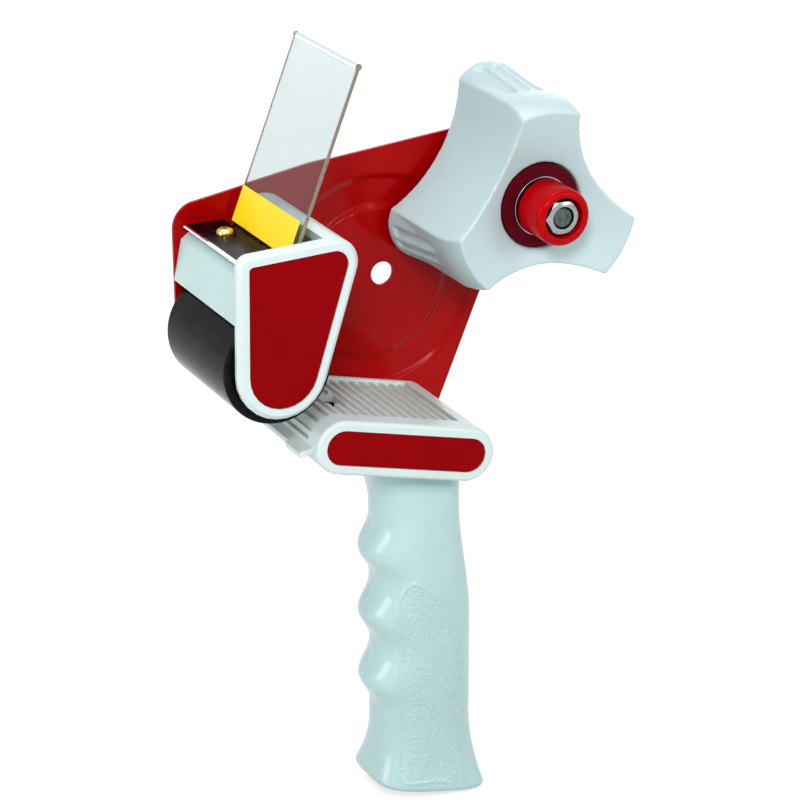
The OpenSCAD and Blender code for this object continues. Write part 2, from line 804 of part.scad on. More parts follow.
module deck() {
    color(deck_grey) {
        difference() {
            union() {
                difference() {
                    deck_form(deck_r, y_near, y_plate, deck_round);
                    deck_rib_recess();
                }
                deck_ribs();
                deck_lip();
            }
            deck_form(rib_floor - deck_wall, y_near + near_wall, y_plate + cut, eps);
            in_deck() along_y(y_near - cut, y_near + panel_depth)
                polygon(belt([[-deck_half, 0, deck_r], [deck_half, 0, deck_r]], deck_border));
            in_deck() translate([-window_fwd - window_l / 2, window_off - window_w / 2, 0])
                cube([window_l, window_w, deck_h]);
            deck_bolt_place() translate([0, 0, -cut]) cylinder(h = deck_h / 2, r = screw_d / 2 + loose_gap);
        }
        difference() {
            for (p = deck_screw_at)
                rod_y(p[0], p[1], y_near + near_wall - eps, y_plate, boss_r);
            for (p = deck_screw_at)
                screw_pilot(p[0], p[1], screw_bite + cut);
        }
    }
}

module deck_panel() {
    color(panel_red)
        in_deck() along_y(y_near + panel_depth - panel_t, y_near + panel_depth)
            polygon(belt([[-deck_half, 0, deck_r], [deck_half, 0, deck_r]], deck_border + inlay_gap));
}

module deck_screws() {
    color(steel)
        for (p = deck_screw_at) plate_screw(p[0], p[1]);
}

// Grip
function flare(z) = pow(max(0, 1 - z / flare_h), 2);
function base_round_at(c) = base_round + (base_round_front - base_round) * max(0, -c);
function edge_in(z, c) = let (r = base_round_at(c)) z < r ? r - sqrt(r * r - pow(r - z, 2)) : 0;
function ridge(z, peak) =
    abs(z - peak) < finger_pitch / 2 ? pow((1 + cos(360 * (z - peak) / finger_pitch)) / 2, 1.3) : 0;
function ridges(z, i = 0) = i < finger_count ? ridge(z, finger_z + i * finger_pitch) + ridges(z, i + 1) : 0;
function neck(z) = pow(max(0, 1 - (grip_top_z - z) / neck_flare_h), 2);
function front_reach(z) =
    grip_front + finger_h * ridges(z) + base_flare_front * flare(z) + neck_flare * neck(z);
function rear_reach(z) =
    grip_rear + base_flare_rear * flare(z) - neck_in * smooth01((z - neck_z) / neck_h);
function side_reach(z) = grip_half_t + base_flare_y * flare(z);
function squareness(z) = 2 / (grip_power + base_power * flare(z));
function plug_in(c) = base_round_at(c) + plug_rim;
function shell_edge(z, c, outer) =
    outer ? edge_in(z, c) : z < plug_seat ? plug_in(c) : edge_in(z, c) + grip_wall;

// Point of the near half's section: step 0 is the front, the last step the rear
function grip_point(z, step, outer) =
    let (
        base = z < plug_seat && !outer ? 0 : z,
        a = 180 + 180 * step / grip_steps,
        c = cos(a),
        s = sin(a),
        inset = shell_edge(z, c, outer),
        reach = c < 0 ? front_reach(base) : rear_reach(base),
        x = (reach - inset) * sign(c) * pow(abs(c), squareness(base)),
        y = -(side_reach(base) - inset) * pow(abs(s), squareness(base)),
        top_slope = tan(deck_tilt) * smooth01((z - grip_top_z + tilt_h) / tilt_h),
        base_slope = tan(base_tilt) * smooth01((tilt_h - z) / tilt_h)
    )
    [
        step == grip_steps / 2 ? 0 : x,
        step == 0 || step == grip_steps ? 0 : y,
        z - (top_slope + base_slope) * x
    ];

grip_straight = grip_top_z - grip_top_wall - base_round_front;
grip_levels = concat(
    [for (i = [0 : base_steps - 1]) base_round_front * (1 - cos(90 * i / base_steps))],
    [for (i = [0 : grip_rings]) base_round_front + grip_straight * i / grip_rings],
    [grip_top_z]
);

module grip_half() {
    m = grip_steps + 1;
    n = len(grip_levels);
    k = n - 1;
    outer = [for (z = grip_levels) for (j = [0 : grip_steps]) grip_point(z, j, true)];
    inner = [for (i = [0 : k - 1]) for (j = [0 : grip_steps]) grip_point(grip_levels[i], j, false)];
    base = n * m;
    last = grip_steps;
    outside = [
        for (i = [0 : n - 2]) for (j = [0 : last - 1])
            let (a = i * m + j)
            each [[a, a + m + 1, a + 1], [a, a + m, a + m + 1]]
    ];
    inside = [
        for (i = [0 : k - 2]) for (j = [0 : last - 1])
            let (a = base + i * m + j)
            each [[a, a + 1, a + m + 1], [a, a + m + 1, a + m]]
    ];
    under = [for (j = [0 : last - 1]) each [[j, j + 1, base + j + 1], [j, base + j + 1, base + j]]];
    front_seam = [
        for (i = [0 : k - 2])
            let (o = i * m, q = base + i * m)
            each [[o, q + m, o + m], [o, q, q + m]]
    ];
    rear_seam = [
        for (i = [0 : k - 2])
            let (o = i * m + last, q = base + i * m + last)
            each [[o, o + m, q + m], [o, q + m, q]]
    ];
    top = (n - 1) * m;
    ceiling = base + (k - 1) * m;
    roof = [[for (j = [last : -1 : 0]) top + j]];
    roof_under = [[for (j = [0 : last]) ceiling + j]];
    roof_seam = [[(k - 1) * m, ceiling, ceiling + last, (k - 1) * m + last, top + last, top]];
    polyhedron(
        points = concat(outer, inner),
        faces = concat(outside, inside, under, front_seam, rear_seam, roof, roof_under, roof_seam)
    );
}

module grip_bolt_boss() {
    in_deck() translate([bolt_x, -bolt_y, -deck_r - grip_top_wall - screw_bite])
        cylinder(h = screw_bite + grip_top_wall - eps, r = boss_r);
}

module grip_bolt_hole() {
    in_deck() translate([bolt_x, -bolt_y, -deck_r - grip_top_wall - screw_bite - cut])
        cylinder(h = screw_bite + grip_top_wall + 2 * cut, r = screw_d / 2 + fix_gap);
}

module grip_near_shell() {
    boss_len = grip_half_t - grip_wall / 2;
    color(near_grey)
        difference() {
            union() {
                grip_half();
                grip_bolt_boss();
                for (z = grip_screw_z) rod_y(0, z, -boss_len, 0, boss_r);
            }
            grip_bolt_hole();
            for (z = grip_screw_z) rod_y(0, z, -screw_bite, cut, screw_d / 2 + fix_gap);
        }
}

module grip_far_shell() {
    well_r = screw_head_d / 2 + loose_gap;
    well_wall = 1.6;
    floor_t = 2.5;
    color(near_grey)
        difference() {
            union() {
                mirror([0, 1, 0]) {
                    grip_half();
                    grip_bolt_boss();
                }
                for (z = grip_screw_z) {
                    rod_y(0, z, 0, grip_half_t - grip_wall / 2, boss_r);
                    rod_y(0, z, grip_head_y - floor_t, grip_half_t - grip_wall / 2, well_r + well_wall);
                }
            }
            mirror([0, 1, 0]) grip_bolt_hole();
            for (z = grip_screw_z) {
                rod_y(0, z, -cut, grip_half_t, screw_d / 2 + loose_gap);
                rod_y(0, z, grip_head_y, grip_half_t + base_flare_y + cut, well_r);
            }
        }
}

module grip_screws() {
    color(steel)
        for (z = grip_screw_z)
            translate([0, grip_head_y, z]) rotate([-90, 0, 0])
                pan_screw(screw_d, grip_head_y + screw_bite - cut, screw_head_d, screw_head_h);
}

module grip_bolts() {
    head_seat = deck_r - rib_floor + deck_wall;
    color(steel)
        deck_bolt_place() translate([0, 0, head_seat])
            pan_screw(screw_d, head_seat + grip_top_wall + screw_bite - cut, screw_head_d, screw_head_h);
}

// Outline of the plug in the sloping plane of the base
module plug_outline(extra) {
    steps = 2 * grip_steps;
    polygon([
        for (j = [0 : steps - 1])
            let (
                a = 180 + 360 * j / steps,
                inset = plug_in(cos(a)) + extra,
                reach = (cos(a) < 0 ? front_reach(0) : rear_reach(0)) - inset,
                half = side_reach(0) - inset
            )
            [
                reach * sign(cos(a)) * pow(abs(cos(a)), squareness(0)) / cos(base_tilt),
                half * sign(sin(a)) * pow(abs(sin(a)), squareness(0))
            ]
    ]);
}

module grip_base_plug() {
    lap_z = plug_seat + plug_gap;
    color(near_grey)
        rotate([0, base_tilt, 0]) {
            linear_extrude(height = lap_z + plug_t) plug_outline(plug_gap);
            translate([0, 0, lap_z]) linear_extrude(height = plug_t) plug_outline(-plug_lap);
        }
}

// Head cover, with the hood at its rear
module hood() {
    along_y(y_cover - eps, y_plate)
        intersection() {
            difference() {
                polygon(belt(cover_outline));
                polygon(belt(cover_outline, hood_t));
            }
            translate([head_front_x + hood_lip_set, hood_low_z]) square([head_len, head_top_z]);
        }
}

module head_cover() {
    color(near_grey)
        difference() {
            union() {
                hull() {
                    along_y(cover_front_y + cover_edge, y_cover) polygon(belt(cover_outline));
                    along_y(cover_front_y, y_cover) polygon(belt(cover_outline, cover_edge));
                }
                hood();
                rod_y(roller_x, roller_z, y_cover - eps, y_cover + cover_boss_h, cover_boss_r);
                for (p = [hood_boss, hood_low_boss])
                    rod_y(p[0], p[1], y_plate - screw_bite - boss_wall, y_plate, boss_r);
            }
            along_y(cover_front_y - cut, cover_front_y + panel_depth) polygon(belt(panel_outline));
            rod_y(roller_x, roller_z, y_cover - socket_depth, head_mid, pivot_r + fix_gap);
            rod_y(pin_x, pin_z, y_cover - socket_depth, y_cover + cut, pin_r + fix_gap);
            rod_y(guard_boss[0], guard_boss[1], y_cover - peg_h - fix_gap, y_cover + cut, peg_r + fix_gap);
            for (p = [hood_boss, hood_low_boss]) screw_pilot(p[0], p[1], screw_bite + eps);
        }
}

module head_panel() {
    color(panel_red)
        along_y(cover_front_y + panel_depth - panel_t, cover_front_y + panel_depth)
            polygon(belt(panel_outline, inlay_gap));
}

module head_screws() {
    color(steel)
        for (p = head_screw_at) plate_screw(p[0], p[1]);
}

// Blade holder: the guard and the ledge under the blade
module blade_holder() {
    inner_top_x = guard_top_x + guard_t;
    color(near_grey)
        difference() {
            union() {
                along_y(y_cover, y_plate)
                    polygon([
                        [guard_low_x, guard_low_z], [guard_low_x + guard_t, guard_low_z],
                        [inner_top_x, guard_top_z - guard_t / 2], [lip_x + guard_t, seat_z - ledge_t],
                        [ledge_rear_x, seat_z - ledge_t], [ledge_rear_x, seat_z],
                        [lip_x, seat_z], [lip_x, seat_z - guard_lip_h], [guard_top_x, guard_top_z]
                    ]);
                rod_y(guard_boss[0], guard_boss[1], y_cover, y_plate, boss_r);
                rod_y(guard_boss[0], guard_boss[1], y_cover - peg_h, y_cover + cut, peg_r);
                for (y = blade_screw_y)
                    translate([blade_screw_x, y, seat_z - ledge_t - boss_wall])
                        cylinder(h = boss_wall + eps, r = blade_screw_d / 2 + blade_boss_wall);
            }
            screw_pilot(guard_boss[0], guard_boss[1], screw_bite + eps);
            for (y = blade_screw_y)
                translate([blade_screw_x, y, seat_z - ledge_t - boss_wall - cut])
                    cylinder(h = ledge_t + boss_wall + 2 * cut, r = blade_screw_d / 2 + fix_gap);
        }
}

module blade() {
    half = head_w / 2 - blade_side;
    teeth = floor(2 * half / tooth_pitch);
    start = -teeth * tooth_pitch / 2;
    back_x = min(blade_x + blade_depth, ledge_rear_x);
    color(steel)
        difference() {
            translate([0, head_mid, seat_z]) linear_extrude(height = blade_t)
                polygon(concat(
                    [[back_x, half], [blade_x + tooth_depth, half]],
                    [for (i = [teeth - 1 : -1 : 0]) each [
                        [blade_x + tooth_depth, start + (i + 1) * tooth_pitch - eps],
                        [blade_x, start + (i + 0.5) * tooth_pitch]
                    ]],
                    [[blade_x + tooth_depth, -half], [back_x, -half]]
                ));
            for (y = blade_screw_y)
                translate([blade_screw_x, y, seat_z - cut])
                    cylinder(h = blade_t + 2 * cut, r = blade_screw_d / 2 + loose_gap);
        }
}

module blade_screws() {
    color(brass)
        for (y = blade_screw_y)
            translate([blade_screw_x, y, seat_z + blade_t])
                pan_screw(blade_screw_d, blade_t + ledge_t + boss_wall - fix_gap, blade_head_d, blade_head_h);
}

module flap_pin() {
    color(steel) {
        rod_y(pin_x, pin_z, y_cover - socket_depth + fix_gap, y_plate_back, pin_r);
        rod_y(pin_x, pin_z, y_plate_back, y_plate_back + pin_head_h, pin_head_r);
    }
}

// Torsion spring round the pin: two straight legs and a coil, in the flap's own frame
flap_coil_room = 0.7;
flap_coil_r = pin_r + flap_coil_room + flap_wire / 2;
flap_coil_gap = 0.6;
flap_coil_pitch = flap_wire + flap_coil_gap;
flap_curl_rings = 8;
flap_leg = 9;
flap_front_reach = 6;
flap_coil_part = 0.4;
flap_coil_turns = flap_turns + flap_coil_part;
flap_coil_y0 = flap_coil_turns * flap_coil_pitch / 2;
flap_coil_rings = round(flap_coil_turns * flap_curl_rings);
flap_back_leg = [flap_t / 2 + flap_wire / 2 + face_gap, head_mid + flap_coil_y0, flap_leg];
flap_front_drop = pin_drop - ledge_t - face_gap - flap_wire / 2;
flap_front_z = (flap_front_drop - flap_front_reach * sin(flap_lean)) / cos(flap_lean);
flap_front_leg = [-flap_front_reach, head_mid - flap_coil_y0, flap_front_z];
function flap_coil(i) =
    let (a = -360 * flap_coil_turns * i / flap_coil_rings)
    [flap_coil_r * cos(a), head_mid + flap_coil_y0 * (1 - 2 * i / flap_coil_rings), flap_coil_r * sin(a)];
function flap_coil_out(i) = let (a = -360 * flap_coil_turns * i / flap_coil_rings) [cos(a), 0, sin(a)];
flap_spring_points = concat(
    [flap_back_leg], [for (i = [0 : flap_coil_rings]) flap_coil(i)], [flap_front_leg]
);
flap_spring_out = concat(
    [flap_coil_out(0)], [for (i = [0 : flap_coil_rings]) flap_coil_out(i)], [flap_coil_out(flap_coil_rings)]
);

module flap_spring() {
    echo("flap_spring least gap", least_gap(flap_spring_points, flap_wire / 2, flap_curl_rings / 2));
    color(steel) in_flap() tube(flap_spring_points, flap_spring_out, flap_wire / 2, 6);
}

// Flap and its sticker
module flap() {
    color("#dfe9ea", 0.4)
        in_flap()
            difference() {
                union() {
                    translate([-flap_t / 2, flap_near, 0])
                        cube([flap_t, flap_far - flap_near, flap_len - bead_r]);
                    rod_y(0, flap_len - bead_r, flap_near, flap_far, bead_r);
                    rod_y(0, 0, flap_near, flap_far, barrel_r);
                }
                translate([-barrel_r - cut, head_mid - barrel_gap / 2, -barrel_r - cut])
                    cube([2 * barrel_r + 2 * cut, barrel_gap, barrel_r + cut + notch_h]);
                rod_y(0, 0, flap_near - cut, flap_far + cut, pin_r + run_gap);
            }
}

module flap_sticker() {
    color("#ffdc00")
        in_flap() translate([-flap_t / 2 - sticker_t, flap_far - sticker_w, sticker_low])
            cube([sticker_t, sticker_w, sticker_h]);
}

// Roller
module roller_axle() {
    stud_len = plate_t + pivot_nut_h + cut;
    stem = [
        [0, -stud_len], [pivot_stud_r, -stud_len], [pivot_stud_r, 0],
        [pivot_flange_r, 0], [pivot_flange_r, pivot_flange_t], [pivot_r, pivot_flange_t],
        [pivot_r, head_w + socket_depth - fix_gap], [0, head_w + socket_depth - fix_gap]
    ];
    color(steel) lathe_y(roller_x, roller_z, y_plate) polygon(stem);
}

module roller_axle_nut() {
    far = y_plate_back + pivot_nut_h;
    color(steel)
        difference() {
            hex_y(roller_x, roller_z, y_plate_back, far, pivot_nut_af);
            rod_y(roller_x, roller_z, y_plate_back - cut, far + cut, pivot_stud_r + fix_gap);
        }
}

module roller_core() {
    web_near = (roller_far + roller_near - core_web_t) / 2;
    color("#2a2c2e")
        difference() {
            rod_y(roller_x, roller_z, roller_near, roller_far, core_out_r);
            for (s = [[roller_near - cut, web_near], [web_near + core_web_t, roller_far + cut]])
                difference() {
                    rod_y(roller_x, roller_z, s[0], s[1], core_out_r - core_wall);
                    rod_y(roller_x, roller_z, s[0] - cut, s[1] + cut, core_hub_r);
                }
            rod_y(roller_x, roller_z, roller_near - cut, roller_far + cut, roller_bush_r + fix_gap);
        }
}

module roller_tyre() {
    edge = 0.6;
    inner = core_out_r + fix_gap;
    color("#17181a")
        lathe_y(roller_x, roller_z, roller_far)
            polygon([
                [inner, 0], [roller_r - edge, 0], [roller_r, edge],
                [roller_r, roller_len - edge], [roller_r - edge, roller_len], [inner, roller_len]
            ]);
}

module roller_bushes() {
    color("#e6e2d6")
        for (s = [[roller_near, roller_near + roller_bush_len], [roller_far - roller_bush_len, roller_far]])
            difference() {
                rod_y(roller_x, roller_z, s[0], s[1], roller_bush_r);
                rod_y(roller_x, roller_z, s[0] - cut, s[1] + cut, pivot_r + run_gap);
            }
}

// Hub axle and its fixings
module key_cutter(y0, y1) {
    translate([hub_x - stud_d, y0, hub_z + key_flat]) cube([2 * stud_d, y1 - y0, stud_d]);
}

module hub_axle() {
    rear = back_washer_t + plate_t + nut_h + cut;
    shank = y_plate - shoulder_y;
    front = y_plate - stud_end;
    chamfer = 0.8;
    color(steel)
        difference() {
            lathe_y(hub_x, hub_z, y_plate)
                polygon([
                    [0, -rear], [stud_r - chamfer, -rear], [stud_r, chamfer - rear], [stud_r, 0],
                    [axle_flange_r, 0], [axle_flange_r, axle_flange_t], [axle_r, axle_flange_t],
                    [axle_r, shank], [stud_r, shank], [stud_r, front - chamfer],
                    [stud_r - chamfer, front], [0, front]
                ]);
            key_cutter(stud_end - cut, shoulder_y - eps);
        }
}

module hub_axle_nut() {
    seat = y_plate_back + back_washer_t;
    color(steel)
        difference() {
            union() {
                rod_y(hub_x, hub_z, y_plate_back, seat, back_washer_r);
                hex_y(hub_x, hub_z, seat - eps, seat + nut_h, nut_af);
            }
            rod_y(hub_x, hub_z, y_plate_back - cut, seat + nut_h + cut, stud_r + fix_gap);
        }
}

module hub_washer() {
    far = y_plate - axle_flange_t;
    color("#e6e2d6")
        difference() {
            rod_y(hub_x, hub_z, hub_back + face_gap, far, hub_washer_r);
            rod_y(hub_x, hub_z, hub_back - cut, far + cut, axle_r + fix_gap);
        }
}

// Hub
function lobe_r(s) = hub_d / 2 - hub_taper * pow(max(0, (s - hub_len + hub_taper_len) / hub_taper_len), 2);

// Frame of a lobe's crown: its axis along Y, sloping in towards the near end
module on_crown(k) {
    translate([hub_x, hub_back, hub_z]) rotate([0, -(hub_turn + 120 * k), 0])
        translate([hub_d / 2 + crown_rise - crown_r, 0, 0])
            rotate([0, 0, -atan(crown_rise / crown_len)]) children();
}

module lobes(inset, depth) {
    steps = 12;
    difference() {
        union() {
            lathe_y(hub_x, hub_z, hub_back)
                polygon(concat(
                    [[0, 0]],
                    [for (i = [0 : steps]) let (s = depth * i / steps) [lobe_r(s) - inset, s]],
                    [[0, depth]]
                ));
            for (k = [0 : 2]) on_crown(k) rod_y(0, 0, -crown_len, hub_gap, crown_r - inset);
        }
        translate([hub_x - hub_d, hub_back, hub_z - hub_d]) cube([2 * hub_d, 2 * hub_gap, 2 * hub_d]);
        for (k = [0 : 2])
            let (a = hub_turn + 60 + 120 * k, d = hub_waist_r + hub_side_r)
            translate([d * cos(a), 0, d * sin(a)])
                rod_y(hub_x, hub_z, hub_front - cut, hub_back + cut, hub_side_r + inset);
    }
}

module lobe_grooves() {
    start = 2.4;
    for (k = [0 : 2]) for (g = [-1 : 1])
        on_crown(k) rotate([0, g * groove_step, 0])
            translate([crown_r - groove_depth, -start - groove_len, -groove_w / 2])
                cube([hub_d, groove_len, groove_w]);
}

module hub() {
    tube_r = bush_r + fix_gap + hub_wall;
    floor_t = 3;
    flange_pocket_r = bush_flange_r + fix_gap;
    color(near_grey)
        difference() {
            lobes(0, hub_len);
            lathe_y(hub_x, hub_z, hub_front + hub_dish)
                polygon([
                    [0, 0], [recess_r, 0], [hub_d / 2 - hub_taper, hub_dish],
                    [hub_d, hub_dish], [hub_d, hub_d], [0, hub_d]
                ]);
            difference() {
                translate([0, eps, 0]) lobes(hub_wall, hub_len - hub_dish - floor_t);
                rod_y(hub_x, hub_z, hub_front - cut, hub_back + cut, core_r);
            }
            difference() {
                rod_y(hub_x, hub_z, recess_y + floor_t, hub_back + cut, core_r - hub_wall);
                rod_y(hub_x, hub_z, recess_y, hub_back + 2 * cut, tube_r);
            }
            rod_y(hub_x, hub_z, hub_front - cut, recess_y, recess_r);
            rod_y(hub_x, hub_z, hub_front - cut, hub_back + cut, bush_r + fix_gap);
            rod_y(hub_x, hub_z, recess_y - cut, recess_y + bush_flange_t, flange_pocket_r);
            rod_y(hub_x, hub_z, hub_back - bush_flange_t, hub_back + cut, flange_pocket_r);
            lobe_grooves();
        }
}

module hub_bush(y_face, side) {
    inner = y_face - side * bush_len;
    flange = y_face - side * bush_flange_t;
    difference() {
        union() {
            rod_y(hub_x, hub_z, min(y_face, inner), max(y_face, inner), bush_r);
            rod_y(hub_x, hub_z, min(y_face, flange), max(y_face, flange), bush_flange_r);
        }
        rod_y(hub_x, hub_z, hub_front, hub_back + cut, axle_r + run_gap);
    }
}

module hub_bushes() {
    color("#e6e2d6") {
        hub_bush(hub_back, 1);
        hub_bush(recess_y, -1);
    }
}

// Brake
module keyed_washer(y0, y1, r) {
    bore_r = stud_r + fix_gap;
    difference() {
        rod_y(hub_x, hub_z, y0, y1, r);
        difference() {
            rod_y(hub_x, hub_z, y0 - cut, y1 + cut, bore_r);
            translate([hub_x - r, y0 - 2 * cut, hub_z + key_flat + fix_gap])
                cube([2 * r, y1 - y0 + 4 * cut, r]);
        }
    }
}

module brake_disc() {
    color("#7a0a10") keyed_washer(disc_front, disc_back, disc_r);
}

module thrust_washer() {
    color(steel) keyed_washer(thrust_front, disc_front, knob_r + thrust_rim);
}

brake_room = 1.9;
brake_coil_r = stud_r + brake_room + brake_wire / 2;
brake_curl_rings = 8;
brake_rings = round(brake_turns * brake_curl_rings);
brake_start = thrust_front - face_gap - brake_wire / 2;
brake_end = seat_back + face_gap + brake_wire / 2;
brake_points = [
    for (i = [0 : brake_rings])
        let (a = 360 * brake_turns * i / brake_rings)
        [
            hub_x + brake_coil_r * cos(a),
            brake_start + (brake_end - brake_start) * i / brake_rings,
            hub_z + brake_coil_r * sin(a)
        ]
];
brake_out = [for (i = [0 : brake_rings]) let (a = 360 * brake_turns * i / brake_rings) [cos(a), 0, sin(a)]];

module brake_spring() {
    echo("brake_spring least gap", least_gap(brake_points, brake_wire / 2, brake_curl_rings / 2));
    color(steel) tube(brake_points, brake_out, brake_wire / 2, 6);
}

module spring_seat() {
    color(steel)
        difference() {
            rod_y(hub_x, hub_z, seat_front, seat_back, knob_bore_r - face_gap);
            rod_y(hub_x, hub_z, seat_front - cut, seat_back + cut, stud_r + run_gap);
        }
}

module tension_knob() {
    color(knob_red)
        difference() {
            lathe_y(hub_x, hub_z, knob_back) polygon(rounded_half(knob_r, knob_len, knob_round));
            rod_y(hub_x, hub_z, knob_cavity, knob_back + cut, knob_bore_r);
            rod_y(hub_x, hub_z, knob_front - cut, nut_seat - hex_depth, cbore_r);
            hex_y(hub_x, hub_z, knob_front - cut, nut_seat, knob_nut_af + 2 * fix_gap);
            rod_y(hub_x, hub_z, knob_front - cut, knob_back + cut, stud_r + run_gap);
        }
}

module knob_nut() {
    chamfer_angle = 30;
    face_r = 0.47 * knob_nut_af;
    out_r = 0.6 * knob_nut_af;
    drop = (out_r - face_r) * tan(chamfer_angle);
    color(steel)
        difference() {
            intersection() {
                hex_y(hub_x, hub_z, nut_front, nut_seat, knob_nut_af);
                lathe_y(hub_x, hub_z, nut_seat)
                    polygon([
                        [0, 0], [out_r, 0], [out_r, knob_nut_h - drop],
                        [face_r, knob_nut_h], [0, knob_nut_h]
                    ]);
            }
            rod_y(hub_x, hub_z, nut_front - cut, nut_seat + cut, stud_r + run_gap);
        }
}

side_plate();
deck();
deck_panel();
deck_screws();
grip_near_shell();
grip_far_shell();
grip_screws();
grip_bolts();
grip_base_plug();
head_cover();
head_panel();
head_screws();
blade_holder();
blade();
blade_screws();
flap_pin();
flap_spring();
flap();
flap_sticker();
roller_axle();
roller_axle_nut();
roller_core();
roller_tyre();
roller_bushes();
hub_axle();
hub_axle_nut();
hub_washer();
hub();
hub_bushes();
brake_disc();
thrust_washer();
brake_spring();
spring_seat();
tension_knob();
knob_nut();
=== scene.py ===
import json
import math

import bmesh
import bpy
import numpy as np
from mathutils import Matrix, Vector

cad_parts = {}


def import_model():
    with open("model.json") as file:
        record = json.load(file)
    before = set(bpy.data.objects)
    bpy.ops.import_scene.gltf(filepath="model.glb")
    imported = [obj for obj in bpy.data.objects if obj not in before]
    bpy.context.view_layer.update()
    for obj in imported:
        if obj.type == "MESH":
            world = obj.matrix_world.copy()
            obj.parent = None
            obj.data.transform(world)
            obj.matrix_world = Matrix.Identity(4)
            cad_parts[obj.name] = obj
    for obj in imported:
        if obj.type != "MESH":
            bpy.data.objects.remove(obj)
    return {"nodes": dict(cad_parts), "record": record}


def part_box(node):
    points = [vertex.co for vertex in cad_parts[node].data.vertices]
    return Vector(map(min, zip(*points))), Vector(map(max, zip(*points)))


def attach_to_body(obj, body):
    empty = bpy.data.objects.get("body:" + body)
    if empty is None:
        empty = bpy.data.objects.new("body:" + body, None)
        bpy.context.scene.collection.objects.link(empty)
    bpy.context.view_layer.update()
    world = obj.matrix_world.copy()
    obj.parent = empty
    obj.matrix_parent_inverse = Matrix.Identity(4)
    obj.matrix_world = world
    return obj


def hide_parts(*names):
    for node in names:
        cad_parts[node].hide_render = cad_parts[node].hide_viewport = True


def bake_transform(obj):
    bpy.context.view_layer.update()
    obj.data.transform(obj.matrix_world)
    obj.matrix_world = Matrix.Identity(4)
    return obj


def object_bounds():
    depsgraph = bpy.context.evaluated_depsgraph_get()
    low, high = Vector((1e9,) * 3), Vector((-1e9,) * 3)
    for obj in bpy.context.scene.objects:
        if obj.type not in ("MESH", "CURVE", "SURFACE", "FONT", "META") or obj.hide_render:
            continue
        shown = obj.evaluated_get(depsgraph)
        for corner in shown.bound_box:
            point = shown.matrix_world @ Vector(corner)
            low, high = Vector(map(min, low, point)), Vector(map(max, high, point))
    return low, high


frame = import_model()
cad_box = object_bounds()
scene = bpy.context.scene
MM = 0.001

BODY_OF = {n: b for b, names in frame["record"]["behaviour"]["bodies"].items() for n in names}
SLOT_OF = {s["node"]: s["material_slot"] for s in frame["record"]["subparts"]}


# Node helpers, with sizes and depths in millimetres
def new_material(name):
    mat = bpy.data.materials.new(name)
    mat.use_nodes = True
    tree = mat.node_tree
    return mat, tree, tree.nodes["Principled BSDF"]


def object_coords(tree, stretch=(1, 1, 1)):
    place = tree.nodes.new("ShaderNodeTexCoord")
    scale = tree.nodes.new("ShaderNodeMapping")
    scale.inputs["Scale"].default_value = stretch
    tree.links.new(place.outputs["Object"], scale.inputs["Vector"])
    return scale.outputs["Vector"]


def noise_node(tree, coords, size, detail=2.0, rough=0.5):
    tex = tree.nodes.new("ShaderNodeTexNoise")
    tex.inputs["Scale"].default_value = 1.0 / (size * MM)
    tex.inputs["Detail"].default_value = detail
    tex.inputs["Roughness"].default_value = rough
    tree.links.new(coords, tex.inputs["Vector"])
    return tex.outputs["Fac"]


def ranged(tree, value, low=0, high=1, from_low=0.3, from_high=0.7):
    node = tree.nodes.new("ShaderNodeMapRange")
    node.inputs["From Min"].default_value = from_low
    node.inputs["From Max"].default_value = from_high
    node.inputs["To Min"].default_value = low
    node.inputs["To Max"].default_value = high
    tree.links.new(value, node.inputs["Value"])
    return node.outputs["Result"]


def colour_mix(tree, factor):
    # A mix of two colours by a factor: its first, second and result sockets
    node = tree.nodes.new("ShaderNodeMix")
    node.data_type = "RGBA"
    tree.links.new(factor, node.inputs[0])
    return node.inputs[6], node.inputs[7], node.outputs[2]


def two_tone(tree, factor, dark, light):
    first, second, result = colour_mix(tree, factor)
    first.default_value = (*dark, 1)
    second.default_value = (*light, 1)
    return result


def add_bump(tree, height, depth, strength, before=None):
    node = tree.nodes.new("ShaderNodeBump")
    node.inputs["Strength"].default_value = strength
    node.inputs["Distance"].default_value = depth * MM
    tree.links.new(height, node.inputs["Height"])
    if before is not None:
        tree.links.new(before, node.inputs["Normal"])
    return node.outputs["Normal"]


def multiply(tree, first, second):
    node = tree.nodes.new("ShaderNodeMath")
    node.operation = "MULTIPLY"
    tree.links.new(first, node.inputs[0])
    tree.links.new(second, node.inputs[1])
    return node.outputs[0]


def shade(colour, share):
    return tuple(c * share for c in colour)


# Materials
PAD_CELL = 1.1
PAD_SHADE = 0.9
PAD_WEAR = 0.16
LIGHT_SHARE = 0.4


def moulded(name, colour, rough, spec=0.5, tone=0.05, grain=0.6, depth=0.006):
    mat, tree, bsdf = new_material(name)
    coords = object_coords(tree)
    cloud = noise_node(tree, coords, size=26, detail=3)
    dark = shade(colour, 1 - tone)
    light = shade(colour, 1 + tone * LIGHT_SHARE)
    tree.links.new(two_tone(tree, ranged(tree, cloud), dark, light), bsdf.inputs["Base Color"])
    smear = noise_node(tree, coords, size=7, detail=4, rough=0.6)
    gloss = ranged(tree, smear, low=rough - 0.05, high=rough + 0.06)
    tree.links.new(gloss, bsdf.inputs["Roughness"])
    fine = noise_node(tree, coords, size=grain, detail=3, rough=0.6)
    wave = noise_node(tree, coords, size=9, detail=1)
    soft = add_bump(tree, wave, depth=0.05, strength=0.6)
    tree.links.new(add_bump(tree, fine, depth, strength=0.8, before=soft), bsdf.inputs["Normal"])
    bsdf.inputs["Specular IOR Level"].default_value = spec
    return mat


